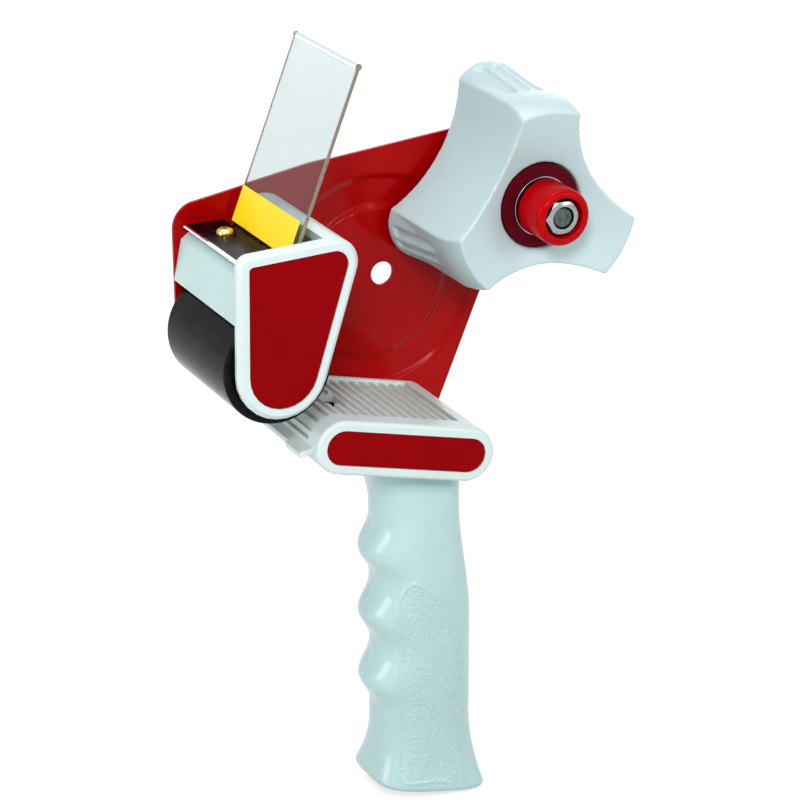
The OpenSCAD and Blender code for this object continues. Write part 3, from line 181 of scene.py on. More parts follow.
def stippled(name, colour, rough):
    # Moulded plastic whose pad carries a leather-like grain where the mesh says so
    mat = moulded(name, colour, rough)
    tree = mat.node_tree
    bsdf = tree.nodes["Principled BSDF"]
    where = tree.nodes.new("ShaderNodeAttribute")
    where.attribute_name = "pad"
    on_pad = where.outputs["Fac"]
    cells = tree.nodes.new("ShaderNodeTexVoronoi")
    cells.feature = "SMOOTH_F1"
    cells.inputs["Scale"].default_value = 1.0 / (PAD_CELL * MM)
    tree.links.new(object_coords(tree), cells.inputs["Vector"])
    height = multiply(tree, cells.outputs["Distance"], on_pad)
    before = bsdf.inputs["Normal"].links[0].from_socket
    leather = add_bump(tree, height, depth=0.4, strength=0.9, before=before)
    tree.links.new(leather, bsdf.inputs["Normal"])
    speck = noise_node(tree, object_coords(tree), size=0.75, detail=2)
    dark = multiply(tree, ranged(tree, speck, from_low=0.45, from_high=0.65), on_pad)
    plain = bsdf.inputs["Base Color"].links[0].from_socket
    first, second, result = colour_mix(tree, dark)
    tree.links.new(plain, first)
    second.default_value = (*shade(colour, PAD_SHADE), 1)
    tree.links.new(result, bsdf.inputs["Base Color"])
    worn = ranged(tree, on_pad, low=rough, high=rough + PAD_WEAR, from_low=0, from_high=1)
    tree.links.new(worn, bsdf.inputs["Roughness"])
    return mat


def enamel(name, colour, rough, spec):
    mat, tree, bsdf = new_material(name)
    coords = object_coords(tree)
    cloud = noise_node(tree, coords, size=40, detail=3)
    base = two_tone(tree, ranged(tree, cloud), shade(colour, 0.9), shade(colour, 1.06))
    tree.links.new(base, bsdf.inputs["Base Color"])
    haze = noise_node(tree, coords, size=12, detail=4, rough=0.6)
    gloss = ranged(tree, haze, low=rough - 0.05, high=rough + 0.07)
    tree.links.new(gloss, bsdf.inputs["Roughness"])
    peel = noise_node(tree, coords, size=3, detail=1)
    tree.links.new(add_bump(tree, peel, depth=0.006, strength=0.4), bsdf.inputs["Normal"])
    bsdf.inputs["Specular IOR Level"].default_value = spec
    return mat


def metal(name, colour, rough, stretch=(1, 1, 1), size=0.5, depth=0.004, tone=0.12, sheen=1.0):
    mat, tree, bsdf = new_material(name)
    scratch = noise_node(tree, object_coords(tree, stretch), size, detail=4, rough=0.65)
    base = two_tone(tree, ranged(tree, scratch), shade(colour, 1 - tone), colour)
    tree.links.new(base, bsdf.inputs["Base Color"])
    stain = noise_node(tree, object_coords(tree), size=4, detail=3)
    gloss = ranged(tree, stain, low=rough - 0.06, high=rough + 0.1)
    tree.links.new(gloss, bsdf.inputs["Roughness"])
    tree.links.new(add_bump(tree, scratch, depth, strength=0.6), bsdf.inputs["Normal"])
    bsdf.inputs["Metallic"].default_value = 1.0
    bsdf.inputs["Specular Tint"].default_value = (sheen, sheen, sheen, 1)
    return mat


def rubber(name, colour, dusty, spec):
    mat, tree, bsdf = new_material(name)
    coords = object_coords(tree)
    dust = noise_node(tree, coords, size=5, detail=5, rough=0.65)
    base = two_tone(tree, ranged(tree, dust, from_low=0.45, from_high=0.8), colour, dusty)
    tree.links.new(base, bsdf.inputs["Base Color"])
    tree.links.new(ranged(tree, dust, low=0.13, high=0.21), bsdf.inputs["Roughness"])
    pores = noise_node(tree, coords, size=0.5, detail=3, rough=0.6)
    tree.links.new(add_bump(tree, pores, depth=0.008, strength=0.5), bsdf.inputs["Normal"])
    bsdf.inputs["Specular IOR Level"].default_value = spec
    return mat


def clear(name, colour, rough, depth=0.05, through=1.0, ior=1.22):
    mat, tree, bsdf = new_material(name)
    coords = object_coords(tree)
    wave = noise_node(tree, coords, size=14, detail=2)
    base = two_tone(tree, ranged(tree, wave), shade(colour, 0.97), colour)
    tree.links.new(base, bsdf.inputs["Base Color"])
    smear = noise_node(tree, coords, size=6, detail=4, rough=0.6)
    tree.links.new(ranged(tree, smear, low=rough, high=rough + 0.05), bsdf.inputs["Roughness"])
    tree.links.new(add_bump(tree, wave, depth, strength=0.4), bsdf.inputs["Normal"])
    bsdf.inputs["Transmission Weight"].default_value = through
    bsdf.inputs["IOR"].default_value = ior
    return mat


def film(name, colour):
    mat, tree, bsdf = new_material(name)
    coords = object_coords(tree)
    fibre = noise_node(tree, coords, size=3, detail=4, rough=0.6)
    base = two_tone(tree, ranged(tree, fibre), shade(colour, 0.93), colour)
    tree.links.new(base, bsdf.inputs["Base Color"])
    tree.links.new(ranged(tree, fibre, low=0.36, high=0.5), bsdf.inputs["Roughness"])
    crease = noise_node(tree, coords, size=9, detail=3)
    tree.links.new(add_bump(tree, crease, depth=0.08, strength=0.5), bsdf.inputs["Normal"])
    return mat


MATS = {
    "grey_plastic": moulded("grey_plastic", (0.59, 0.695, 0.69), rough=0.36),
    "guard_plastic": moulded("guard_plastic", (0.49, 0.66, 0.65), rough=0.36),
    "grip_plastic": stippled("grip_plastic", (0.405, 0.593, 0.59), rough=0.2),
    "hub_plastic": moulded("hub_plastic", (0.45, 0.582, 0.6), rough=0.38),
    "deck_plastic": moulded("deck_plastic", (0.57, 0.675, 0.665), rough=0.42, depth=0.01),
    # Painted shade: a duller, darker grey for the faces sunk between the deck's ribs
    "deck_ribs": moulded("deck_ribs", (0.55, 0.59, 0.57), rough=0.45, depth=0.01),
    "red_plate": enamel("red_plate", (0.345, 0.0003, 0.001), rough=0.11, spec=0.08),
    "red_panel": moulded("red_panel", (0.24, 0.0005, 0.002), rough=0.5, spec=0.03, tone=0.08, grain=0.5,
                         depth=0.01),
    "red_knob": moulded("red_knob", (0.41, 0.0005, 0.003), rough=0.22, spec=0.05, tone=0.07),
    "brake_lining": moulded("brake_lining", (0.085, 0.001, 0.006), rough=0.55, spec=0.05, tone=0.12,
                            depth=0.02),
    "zinc_steel": metal("zinc_steel", (0.30, 0.31, 0.325), rough=0.2),
    "stud_end": metal("stud_end", (0.12, 0.155, 0.145), rough=0.4, size=1.1, depth=0.12, tone=0.85),
    "spring_steel": metal("spring_steel", (0.45, 0.46, 0.48), rough=0.3, size=0.3),
    "blade_steel": metal("blade_steel", (0.024, 0.025, 0.028), rough=0.22, stretch=(1, 0.06, 1), size=0.25,
                         depth=0.002, tone=0.06, sheen=0.55),
    "blade_edge": metal("blade_edge", (0.72, 0.73, 0.75), rough=0.16, stretch=(0.06, 1, 1), size=0.25,
                        tone=0.1),
    "brass": metal("brass", (0.72, 0.5, 0.16), rough=0.22),
    "clear_plastic": clear("clear_plastic", (0.62, 0.69, 0.7), rough=0.02),
    # Painted shade: the flap's side edges are a brownish, half-clear plastic standing in for the dark look
    # that refraction gives them
    "clear_edge_shade": clear("clear_edge_shade", (0.34, 0.29, 0.23), rough=0.25, through=0.35),
    "yellow_film": film("yellow_film", (1.0, 0.73, 0.012)),
    "black_plastic": moulded("black_plastic", (0.014, 0.014, 0.015), rough=0.4, depth=0.02),
    "black_rubber": rubber("black_rubber", (0.003, 0.0042, 0.004), dusty=(0.012, 0.012, 0.013), spec=0.055),
    "bush_nylon": moulded("bush_nylon", (0.78, 0.73, 0.63), rough=0.45),
}

# Mesh helpers
WELD = 1e-6
FLAT_ANGLE = math.radians(0.4)


def solid_of(node):
    bm = bmesh.new()
    bm.from_mesh(frame["nodes"][node].data)
    bmesh.ops.remove_doubles(bm, verts=bm.verts, dist=WELD)
    return bm


def finish_mesh(name, bm, mats, sharp=35):
    for f in bm.faces:
        f.smooth = True
    for e in bm.edges:
        e.smooth = len(e.link_faces) == 2 and e.calc_face_angle(0) < math.radians(sharp)
    mesh = bpy.data.meshes.new(name)
    bm.to_mesh(mesh)
    bm.free()
    if "custom_normal" in mesh.attributes:
        mesh.attributes.remove(mesh.attributes["custom_normal"])
    for m in mats:
        mesh.materials.append(m)
    obj = bpy.data.objects.new(name, mesh)
    scene.collection.objects.link(obj)
    return obj


def apply_modifiers(obj):
    bpy.context.view_layer.update()
    done = bpy.data.meshes.new_from_object(obj.evaluated_get(bpy.context.evaluated_depsgraph_get()))
    obj.modifiers.clear()
    obj.data = done


def attach(obj, node):
    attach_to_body(obj, BODY_OF[node])
    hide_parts(node)


# A node's solid with its sharp edges rounded off
def rounded_copy(node, bevel, mat=None, segments=2, angle=32, pick=None, split=None):
    bm = solid_of(node)
    bmesh.ops.dissolve_limit(bm, angle_limit=FLAT_ANGLE, verts=bm.verts, edges=bm.edges)
    if split is not None:
        geom = bm.verts[:] + bm.edges[:] + bm.faces[:]
        bmesh.ops.bisect_plane(bm, geom=geom, plane_co=split[0], plane_no=split[1])
    mats = [mat or MATS[SLOT_OF[node]]]
    for f in bm.faces:
        f.material_index = 0
    if pick is not None:
        mats.append(pick[0])
        for f in bm.faces:
            f.material_index = 1 if pick[1](f) else 0
    obj = finish_mesh(node + "_skin", bm, mats, angle)
    mod = obj.modifiers.new("round", "BEVEL")
    mod.width = bevel * MM
    mod.segments = segments
    mod.limit_method = "ANGLE"
    mod.angle_limit = math.radians(angle)
    mod.use_clamp_overlap = True
    mod.harden_normals = True
    attach(obj, node)


# A node's solid with all its edges eased, for a thick moulding
def eased_copy(node, voxel, rounds, mat):
    obj = finish_mesh(node + "_skin", solid_of(node), [mat])
    shell = obj.modifiers.new("shell", "REMESH")
    shell.mode = "VOXEL"
    shell.voxel_size = voxel * MM
    shell.use_smooth_shade = True
    ease = obj.modifiers.new("ease", "SMOOTH")
    ease.factor = 0.5
    ease.iterations = rounds
    apply_modifiers(obj)
    attach(obj, node)


# Grip: the same section formulas as the solid, on a fine grid, in millimetres
TOP = 126.513
FRONT, REAR, HALF = 17.8, 18.5, 15.0
POWER, BASE_POWER = 2.5, 1.5
RIDGES, RIDGE_H, RIDGE_POWER, PITCH, RIDGE_Z = 3, 4.6, 1.3, 25.1, 43.9
FLARE_F, FLARE_R, FLARE_Y, FLARE_H = 4.6, 4.8, 2.8, 26.0
NECK_IN, NECK_Z, NECK_H, NECK_FLARE, NECK_FLARE_H = 5.0, 65.0, 46.0, 9.5, 18.0
ROUND_F, ROUND_S = 3.5, 2.5
TILT_H = 26.0
TOP_SLOPE = math.tan(math.radians(12.7))
BASE_SLOPE = math.tan(math.radians(10))
PLUG_RIM, PLUG_DEEP = 3.2, 2.2
WELL_R, WELL_Y, WELL_LEN, WELL_SIDES = 3.8, 7.5, 20, 48
SCREW_Z = (27, 63, 101)

# Grid of the grip's skin
GRIP_COLS, GRIP_ROWS, ROUND_ROWS = 132, 246, 10
EVEN_Z, EVEN_STEPS = 60.0, 4001
LOOP_STEPS = 8

# Seam between the halves, and the pad's raised line and grain
SEAM_GAP, SEAM_DEPTH, SEAM_W = 0.02, 0.22, 0.5
LINE_H, LINE_W = 0.55, 0.55
GRAIN_H = 0.045
PAD_BLEND, PAD_OVER = 1.2, 0.2
PAD_SIDE_Y = -4
FADE, FADE_X, FADE_X_RUN, FADE_Z, FADE_Z_RUN = 0.7, 2, 9, 70, 10

# Outline of the grained pad on the grip's side, as front to rear and height
PAD = [
    (-14.3, 5.4), (-12.1, 21.8), (-11.9, 30.0), (-13.0, 37.4), (-14.8, 45.7), (-13.6, 52.3), (-12.4, 57.6),
    (-13.7, 63.2), (-14.7, 68.8), (-13.2, 77.0), (-11.8, 80.4), (-9.6, 83.4), (-7.0, 83.3), (-1.0, 78.4),
    (4.9, 73.3), (8.4, 68.4), (10.6, 61.4), (11.7, 53.0), (12.7, 34.6), (12.4, 17.5), (11.8, 4.4), (-1.7, 4.7)
]


def smooth01(t):
    c = np.clip(t, 0, 1)
    return c * c * (3 - 2 * c)


def flare(z):
    return np.maximum(0, 1 - z / FLARE_H) ** 2


def ridges(z):
    total = np.zeros_like(z)
    for i in range(RIDGES):
        d = z - RIDGE_Z - PITCH * i
        bell = ((1 + np.cos(2 * np.pi * d / PITCH)) / 2) ** RIDGE_POWER
        total = total + np.where(np.abs(d) < PITCH / 2, bell, 0)
    return total


def front_reach(z):
    neck = np.maximum(0, 1 - (TOP - z) / NECK_FLARE_H) ** 2
    return FRONT + RIDGE_H * ridges(z) + FLARE_F * flare(z) + NECK_FLARE * neck


def rear_reach(z):
    return REAR + FLARE_R * flare(z) - NECK_IN * smooth01((z - NECK_Z) / NECK_H)


def edge_round(c):
    return ROUND_S + (ROUND_F - ROUND_S) * np.maximum(0, -c)


def edge_in(z, c):
    r = edge_round(c)
    return np.where(z < r, r - np.sqrt(np.maximum(0, r * r - (r - z) ** 2)), 0)


def section(z, angle, inset):
    c = np.cos(angle)
    s = np.sin(angle)
    p = 2 / (POWER + BASE_POWER * flare(z))
    reach = np.where(c < 0, front_reach(z), rear_reach(z)) - inset
    x = reach * np.sign(c) * np.abs(c) ** p
    y = -(HALF + FLARE_Y * flare(z) - inset) * np.abs(s) ** p
    return x, y


def tilted(z, x):
    top = TOP_SLOPE * smooth01((z - TOP + TILT_H) / TILT_H)
    base = BASE_SLOPE * smooth01((TILT_H - z) / TILT_H)
    return z - (top + base) * x


# A closed smooth curve through the points
def smooth_loop(points, each):
    p = np.array(points)
    n = len(p)
    out = []
    for i in range(n):
        a, b, c, d = p[i - 1], p[i], p[(i + 1) % n], p[(i + 2) % n]
        for k in range(each):
            t = k / each
            out.append(0.5 * (2 * b + (c - a) * t + (2 * a - 5 * b + 4 * c - d) * t * t
                              + (3 * b - a - 3 * c + d) * t ** 3))
    return np.array(out)


# Distance to the pad's outline, positive inside it
def pad_field(x, z):
    loop = smooth_loop(PAD, LOOP_STEPS)
    nxt = np.roll(loop, -1, axis=0)
    q = np.stack([x, z], axis=-1)
    best = np.full(x.shape, np.inf)
    inside = np.zeros(x.shape, bool)
    for a, b in zip(loop, nxt):
        ab = b - a
        t = np.clip(((q - a) @ ab) / (ab @ ab), 0, 1)
        best = np.minimum(best, np.hypot(q[..., 0] - a[0] - t * ab[0], q[..., 1] - a[1] - t * ab[1]))
        cross = (a[1] > z) != (b[1] > z)
        if a[1] != b[1]:
            inside ^= cross & (x < a[0] + (z - a[1]) * ab[0] / ab[1])
    return np.where(inside, best, -best)


# Uneven waves, a little over a millimetre long
def pad_grain(x, z):
    return np.sin(z * 5.1 + 1.7 * np.sin(x * 3.7)) * np.sin(x * 5.3 + 1.9 * np.sin(z * 4.1))


# Angles that stand evenly along the section, and the section's length
def even_angles(count):
    dense = np.linspace(math.pi, 2 * math.pi, EVEN_STEPS)
    x, y = section(np.full_like(dense, EVEN_Z), dense, 0.0)
    run = np.concatenate([[0], np.cumsum(np.hypot(np.diff(x), np.diff(y)))])
    return np.interp(np.linspace(0, run[-1], count), run, dense), run[-1]


def grip_half(node, side):
    cols = GRIP_COLS
    angles, length = even_angles(cols)
    round_rows = ROUND_F * (1 - np.cos(np.linspace(0, math.pi / 2, ROUND_ROWS))[:-1])
    rows = np.concatenate([round_rows, np.linspace(ROUND_F, TOP, GRIP_ROWS)])
    z, a = np.meshgrid(rows, angles, indexing="ij")
    c = np.cos(a)
    x, y = section(z, a, edge_in(z, c))
    field = pad_field(x, z)
    on_side = y < PAD_SIDE_Y
    rear_fade = 1 - FADE * smooth01((x - FADE_X) / FADE_X_RUN) * smooth01((FADE_Z - z) / FADE_Z_RUN)
    pad = smooth01(field / PAD_BLEND + PAD_OVER) * on_side
    step = np.linspace(0, length, cols)
    seam = np.minimum(step, length - step)[None, :]
    lift = LINE_H * rear_fade * np.exp(-(field / LINE_W) ** 2) * on_side
    lift = lift + GRAIN_H * pad_grain(x, z) * pad - SEAM_DEPTH * np.maximum(0, 1 - seam / SEAM_W) ** 2
    px, py = section(z, a, edge_in(z, c) - lift)
    pz = tilted(z, px)
    py[:, 0] = -SEAM_GAP
    py[:, -1] = -SEAM_GAP
    bm = bmesh.new()
    layer = bm.verts.layers.float.new("pad")
    grid = []
    for i in range(len(rows)):
        line = []
        for j in range(cols):
            v = bm.verts.new((px[i, j] * MM, side * -py[i, j] * MM, pz[i, j] * MM))
            v[layer] = float(pad[i, j])
            line.append(v)
        grid.append(line)

    def ring(inset, rise):
        rx, ry = section(np.zeros(cols), angles, inset)
        rz = tilted(np.zeros(cols), rx) + rise
        ry[0] = -SEAM_GAP
        ry[-1] = -SEAM_GAP
        return [bm.verts.new((rx[j] * MM, side * -ry[j] * MM, rz[j] * MM)) for j in range(cols)]

    inset = edge_round(np.cos(angles)) + PLUG_RIM
    rim = ring(inset, 0.0)
    deep = ring(inset, PLUG_DEEP)
    strips = [deep, rim] + grid
    for low, high in zip(strips[:-1], strips[1:]):
        for j in range(cols - 1):
            bm.faces.new((low[j], low[j + 1], high[j + 1], high[j]))
        bm.faces.new((low[cols - 1], low[0], high[0], high[cols - 1]))
    bm.faces.new(list(reversed(deep)))
    bm.faces.new(grid[-1])
    bmesh.ops.recalc_face_normals(bm, faces=bm.faces)
    return finish_mesh(node + "_skin", bm, [MATS["grip_plastic"]], sharp=50)


def cut_wells(obj):
    bm = bmesh.new()
    turn = Vector((0, 0, 1)).rotation_difference(Vector((0, 1, 0))).to_matrix()
    for z in SCREW_Z:
        made = bmesh.ops.create_cone(bm, cap_ends=True, segments=WELL_SIDES, radius1=WELL_R * MM,
                                     radius2=WELL_R * MM, depth=WELL_LEN * MM)
        bmesh.ops.rotate(bm, verts=made["verts"], cent=(0, 0, 0), matrix=turn)
        bmesh.ops.translate(bm, verts=made["verts"], vec=(0, (WELL_Y + WELL_LEN / 2) * MM, z * MM))
    mesh = bpy.data.meshes.new("well_cutter")
    bm.to_mesh(mesh)
    bm.free()
    cutter = bpy.data.objects.new("well_cutter", mesh)
    scene.collection.objects.link(cutter)
    mod = obj.modifiers.new("wells", "BOOLEAN")
    mod.object = cutter
    mod.solver = "EXACT"
    apply_modifiers(obj)
    bpy.data.objects.remove(cutter)


near_half = grip_half("grip_near_shell", -1)
attach(near_half, "grip_near_shell")
far_half = grip_half("grip_far_shell", 1)
cut_wells(far_half)
attach(far_half, "grip_far_shell")

# Springs as round wire, in millimetres
HUB_X, HUB_Z = 37.0, 220.3
BRAKE_R, BRAKE_WIRE, BRAKE_TURNS, BRAKE_STEPS = 6.4, 0.55, 3, 24
BRAKE_Y = (-22.05, -27.35)
PIN_X, PIN_Z, LEAN = -62.85, 207.3, math.radians(20.9)
COIL_R, COIL_WIRE, COIL_TURNS, COIL_STEPS, COIL_MID, COIL_HALF = 2.6, 0.4, 5.4, 126, -1.0, 3.78
FLAP_LEG = (1.4, 9.0)
FRAME_LEG = (-6.0, 2.1)
UPRIGHT = 0.1


def wire(name, points, radius, sides=12):
    pts = [Vector(p) * MM for p in points]
    bm = bmesh.new()
    rings = []
    up = Vector((0, 0, 1))
    for i, p in enumerate(pts):
        along = (pts[min(i + 1, len(pts) - 1)] - pts[max(i - 1, 0)]).normalized()
        across = along.cross(up)
        if across.length < UPRIGHT:
            across = along.cross(Vector((1, 0, 0)))
        across.normalize()
        up = across.cross(along).normalized()
        rings.append([
            bm.verts.new(p + radius * MM * (math.cos(2 * math.pi * k / sides) * up
                                            + math.sin(2 * math.pi * k / sides) * across))
            for k in range(sides)
        ])
    for a, b in zip(rings[:-1], rings[1:]):
        for k in range(sides):
            bm.faces.new((a[k], a[(k + 1) % sides], b[(k + 1) % sides], b[k]))
    bm.faces.new(list(reversed(rings[0])))
    bm.faces.new(rings[-1])
    bmesh.ops.recalc_face_normals(bm, faces=bm.faces)
    return finish_mesh(name, bm, [MATS["spring_steel"]], sharp=60)


def brake_spring():
    steps = BRAKE_STEPS * BRAKE_TURNS
    pts = []
    for i in range(steps + 1):
        a = 2 * math.pi * BRAKE_TURNS * i / steps
        y = BRAKE_Y[0] + (BRAKE_Y[1] - BRAKE_Y[0]) * i / steps
        pts.append((HUB_X + BRAKE_R * math.cos(a), y, HUB_Z + BRAKE_R * math.sin(a)))
    obj = wire("brake_spring_skin", pts, BRAKE_WIRE)
    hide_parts("brake_spring")
    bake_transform(obj)


def in_flap(x, y, z):
    return PIN_X + x * math.cos(LEAN) + z * math.sin(LEAN), y, PIN_Z - x * math.sin(LEAN) + z * math.cos(LEAN)


def flap_spring():
    local = [(FLAP_LEG[0], COIL_MID + COIL_HALF, FLAP_LEG[1])]
    for i in range(COIL_STEPS + 1):
        a = -2 * math.pi * COIL_TURNS * i / COIL_STEPS
        y = COIL_MID + COIL_HALF * (1 - 2 * i / COIL_STEPS)
        local.append((COIL_R * math.cos(a), y, COIL_R * math.sin(a)))
    local.append((FRAME_LEG[0], COIL_MID - COIL_HALF, FRAME_LEG[1]))
    obj = wire("flap_spring_skin", [in_flap(*p) for p in local], COIL_WIRE)
    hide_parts("flap_spring")
    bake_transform(obj)


brake_spring()
flap_spring()


# A turned piece round the hub's axis, from a closed profile of radius and depth behind its front
def turned(node, profile, steps=96):
    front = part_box(node)[0][1]
    bm = bmesh.new()
    rings = []
    for i in range(steps):
        a = 2 * math.pi * i / steps
        rings.append([
            bm.verts.new(((HUB_X + r * math.cos(a)) * MM, front + d * MM, (HUB_Z + r * math.sin(a)) * MM))
            for r, d in profile
        ])
    for i in range(steps):
        one = rings[i]
        two = rings[(i + 1) % steps]
        for k in range(len(profile)):
            n = (k + 1) % len(profile)
            bm.faces.new((one[k], one[n], two[n], two[k]))
    bmesh.ops.recalc_face_normals(bm, faces=bm.faces)
    obj = finish_mesh(node + "_skin", bm, [MATS[SLOT_OF[node]]], sharp=40)
    attach(obj, node)


# Tension knob, with a full round on its front lip, in millimetres
KNOB_R, KNOB_LEN, KNOB_ROUND, KNOB_ROUND_D, KNOB_STEPS = 10.2, 15.0, 2.3, 2.6, 10
KNOB_HOLE, KNOB_LIP, KNOB_POCKET, KNOB_BORE, KNOB_CAVITY = 7.1, 0.8, 6.75, 4.15, 8.7
KNOB_FLOOR, KNOB_SEAT, KNOB_WEB, KNOB_EDGE = 4.9, 6.7, 8.2, 0.4


def knob_profile():
    quarter = [math.pi / 2 * i / KNOB_STEPS for i in range(KNOB_STEPS + 1)]
    outer = [(KNOB_R - KNOB_ROUND * (1 - math.cos(t)), KNOB_ROUND_D * (1 - math.sin(t))) for t in quarter]
    inner = [(KNOB_HOLE + KNOB_LIP * (1 - math.sin(t)), KNOB_LIP * (1 - math.cos(t))) for t in quarter[1:]]
    back = [
        (KNOB_HOLE, KNOB_FLOOR), (KNOB_POCKET, KNOB_FLOOR), (KNOB_POCKET, KNOB_SEAT), (KNOB_BORE, KNOB_SEAT),
        (KNOB_BORE, KNOB_WEB), (KNOB_CAVITY, KNOB_WEB), (KNOB_CAVITY, KNOB_LEN),
        (KNOB_R - KNOB_EDGE, KNOB_LEN), (KNOB_R, KNOB_LEN - KNOB_EDGE)
    ]
    return outer + inner + back


turned("tension_knob", knob_profile())

# Where a solid changes its material, and where painted shade goes on the deck's rib recesses and the flap's
# side edges
BLADE_STRIP = -76.3 * MM
STUD_Y = -34 * MM
RIB_MARGIN = 8.5 * MM
RIB_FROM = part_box("deck")[0][1] + RIB_MARGIN
RIB_DEPTH = (0.4 * MM, 3 * MM)
RIB_REAR = 6.6 * MM
DECK_TOP = max(v.co.z + TOP_SLOPE * v.co.x for v in frame["nodes"]["deck"].data.vertices)
FLAP_EDGE_SIDEWAYS = 0.9
FLAP_EDGE_AREA = 3 * MM * MM


# Faces sunk 0.4 to 3 mm under the deck's top between its ribs, which get painted shade
def in_rib_shade(face):
    spot = face.calc_center_median()
    down = DECK_TOP - spot.z - TOP_SLOPE * spot.x
    return spot.y > RIB_FROM and spot.x < RIB_REAR and RIB_DEPTH[0] < down < RIB_DEPTH[1]


def on_blade_strip(face):
    return face.calc_center_median().x < BLADE_STRIP


def on_stud_end(face):
    return face.calc_center_median().y < STUD_Y


# The flap's side edges, which get painted shade
def on_shaded_flap_edge(face):
    return abs(face.normal.y) > FLAP_EDGE_SIDEWAYS and face.calc_area() > FLAP_EDGE_AREA


# Solids whose edges are rounded off, by a width in millimetres
rounded_copy("side_plate", 0.45, segments=3)
# The deck's rib recesses get painted shade, a duller, darker grey
rounded_copy("deck", 0.4, split=((0, RIB_FROM, 0), (0, 1, 0)), pick=(MATS["deck_ribs"], in_rib_shade))
rounded_copy("deck_panel", 0.3)
rounded_copy("head_cover", 0.6, segments=3)
rounded_copy("head_panel", 0.3)
rounded_copy("blade_holder", 0.5, MATS["guard_plastic"], segments=3)
rounded_copy("blade", 0.08, split=((BLADE_STRIP, 0, 0), (1, 0, 0)), pick=(MATS["blade_edge"], on_blade_strip))
rounded_copy("blade_screws", 0.15)
rounded_copy("grip_base_plug", 0.4)
eased_copy("hub", voxel=0.5, rounds=11, mat=MATS["hub_plastic"])
rounded_copy("knob_nut", 0.25)
rounded_copy("hub_axle", 0.2, pick=(MATS["stud_end"], on_stud_end))
rounded_copy("hub_axle_nut", 0.3)
rounded_copy("roller_axle_nut", 0.3)
rounded_copy("brake_disc", 0.3)
rounded_copy("thrust_washer", 0.2)
rounded_copy("roller_tyre", 0.5, segments=3)
rounded_copy("roller_core", 0.4)
# The flap's side edges get painted shade, a brownish, half-clear plastic
rounded_copy("flap", 0.35, segments=3, pick=(MATS["clear_edge_shade"], on_shaded_flap_edge))
rounded_copy("flap_sticker", 0.05)
rounded_copy("deck_screws", 0.2)
rounded_copy("head_screws", 0.2)
rounded_copy("grip_screws", 0.2)

# Solids that stay as they are and only get their material
AS_THEY_ARE = (
    "grip_bolts", "flap_pin", "roller_axle", "roller_bushes", "hub_washer", "hub_bushes", "spring_seat"
)
for kept in AS_THEY_ARE:
    for slot in frame["nodes"][kept].material_slots:
        slot.material = MATS[SLOT_OF[kept]]

# Floor, light and camera
FLOOR_HALF = 5.0
FLOOR_GAP = 0.0004
FLOOR_GREY = 0.55
AMBIENT = 0.25
MIDDLE = (0, 0, 0.15)
PLATE_RING = (0, 0.027, 0.19)
CAMERA_AT = (-0.4510, -0.9257, 0.5344)
CAMERA_TOWARDS = (0.4046, 0.8442, -0.3515)
LENS, SENSOR, FAR_END = 139.8, 36, 50


# One where the camera, glass or gloss looks at the background, and zero for the light it gives
def background_rays(tree):
    path = tree.nodes.new("ShaderNodeLightPath")
    last = path.outputs["Is Camera Ray"]
    for name in ("Is Transmission Ray", "Is Glossy Ray"):
        either = tree.nodes.new("ShaderNodeMath")
        either.operation = "MAXIMUM"
        tree.links.new(last, either.inputs[0])
        tree.links.new(path.outputs[name], either.inputs[1])
        last = either.outputs[0]
    return last


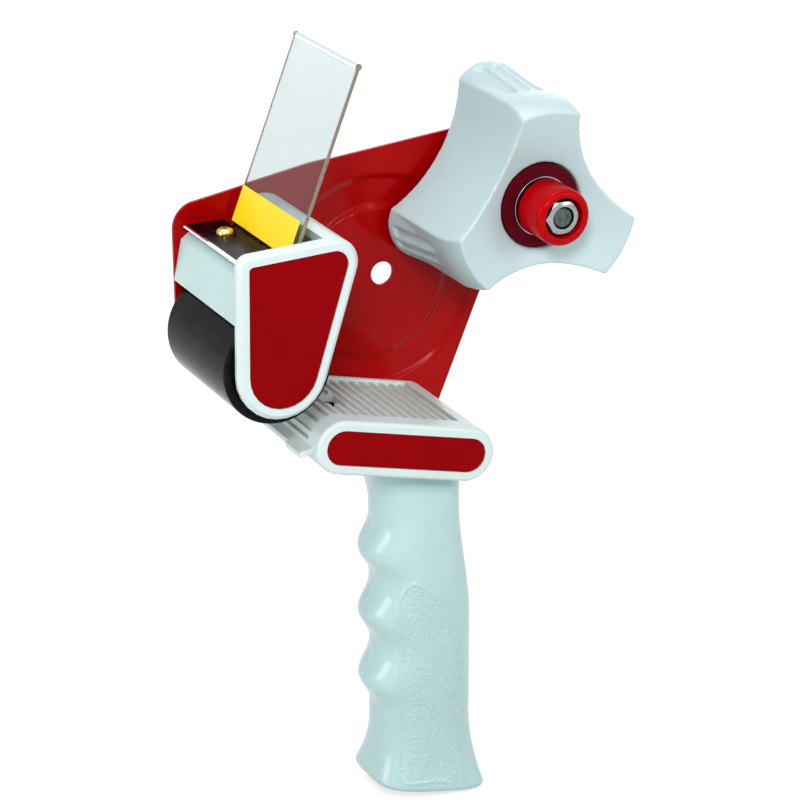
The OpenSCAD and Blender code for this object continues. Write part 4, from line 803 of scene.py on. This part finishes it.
def floor(height):
    mesh = bpy.data.meshes.new("floor")
    r = FLOOR_HALF
    mesh.from_pydata([(-r, -r, height), (r, -r, height), (r, r, height), (-r, r, height)], [], [(0, 1, 2, 3)])
    obj = bpy.data.objects.new("floor", mesh)
    scene.collection.objects.link(obj)
    mat = bpy.data.materials.new("floor_white")
    mat.use_nodes = True
    tree = mat.node_tree
    tree.nodes.clear()
    out = tree.nodes.new("ShaderNodeOutputMaterial")
    mix = tree.nodes.new("ShaderNodeAddShader")
    paint = tree.nodes.new("ShaderNodeBsdfDiffuse")
    paint.inputs["Color"].default_value = (FLOOR_GREY, FLOOR_GREY, FLOOR_GREY, 1)
    glow = tree.nodes.new("ShaderNodeEmission")
    place = tree.nodes.new("ShaderNodeNewGeometry")
    away = tree.nodes.new("ShaderNodeVectorMath")
    away.operation = "LENGTH"
    tree.links.new(place.outputs["Position"], away.inputs[0])
    level = ranged(tree, away.outputs["Value"], low=0.64, high=0.9, from_low=0.5, from_high=1.6)
    strength = multiply(tree, background_rays(tree), level)
    tree.links.new(strength, glow.inputs["Strength"])
    tree.links.new(paint.outputs[0], mix.inputs[0])
    tree.links.new(glow.outputs[0], mix.inputs[1])
    tree.links.new(mix.outputs[0], out.inputs["Surface"])
    mesh.materials.append(mat)


def world(ambient):
    w = bpy.data.worlds.new("studio")
    scene.world = w
    w.use_nodes = True
    tree = w.node_tree
    tree.nodes.clear()
    out = tree.nodes.new("ShaderNodeOutputWorld")
    back = tree.nodes.new("ShaderNodeBackground")
    back.inputs["Color"].default_value = (1, 1, 1, 1)
    level = ranged(tree, background_rays(tree), low=ambient, high=1, from_low=0, from_high=1)
    tree.links.new(level, back.inputs["Strength"])
    tree.links.new(back.outputs[0], out.inputs["Surface"])


def softbox(name, place, size, power, aim=MIDDLE):
    data = bpy.data.lights.new(name, "AREA")
    data.shape = "RECTANGLE"
    data.size = size[0]
    data.size_y = size[1]
    data.energy = power
    obj = bpy.data.objects.new(name, data)
    obj.location = place
    obj.rotation_euler = (Vector(aim) - Vector(place)).to_track_quat("-Z", "Y").to_euler()
    scene.collection.objects.link(obj)


def camera():
    data = bpy.data.cameras.new("camera")
    data.sensor_width = SENSOR
    data.lens = LENS
    data.clip_end = FAR_END
    obj = bpy.data.objects.new("camera", data)
    obj.location = CAMERA_AT
    obj.rotation_euler = Vector(CAMERA_TOWARDS).to_track_quat("-Z", "Y").to_euler()
    scene.collection.objects.link(obj)
    scene.camera = obj


scene.view_settings.view_transform = "Standard"
floor(cad_box[0][2] - FLOOR_GAP)
world(AMBIENT)
softbox("key", (-0.67, -1.2, 1.05), size=(0.32, 0.32), power=14)
softbox("fill", (0.9, -1.2, 0.8), size=(0.6, 0.9), power=7.5)
softbox("strip", (0.03, -1.32, 0.82), size=(0.6, 0.04), power=3.2, aim=PLATE_RING)
softbox("side", (-1.4, -0.2, 0.5), size=(0.7, 0.9), power=8)
softbox("top", (0.0, 0.2, 1.6), size=(0.9, 0.9), power=10)
softbox("back", (0.7, 1.4, 0.5), size=(0.9, 0.9), power=4.5)
camera()
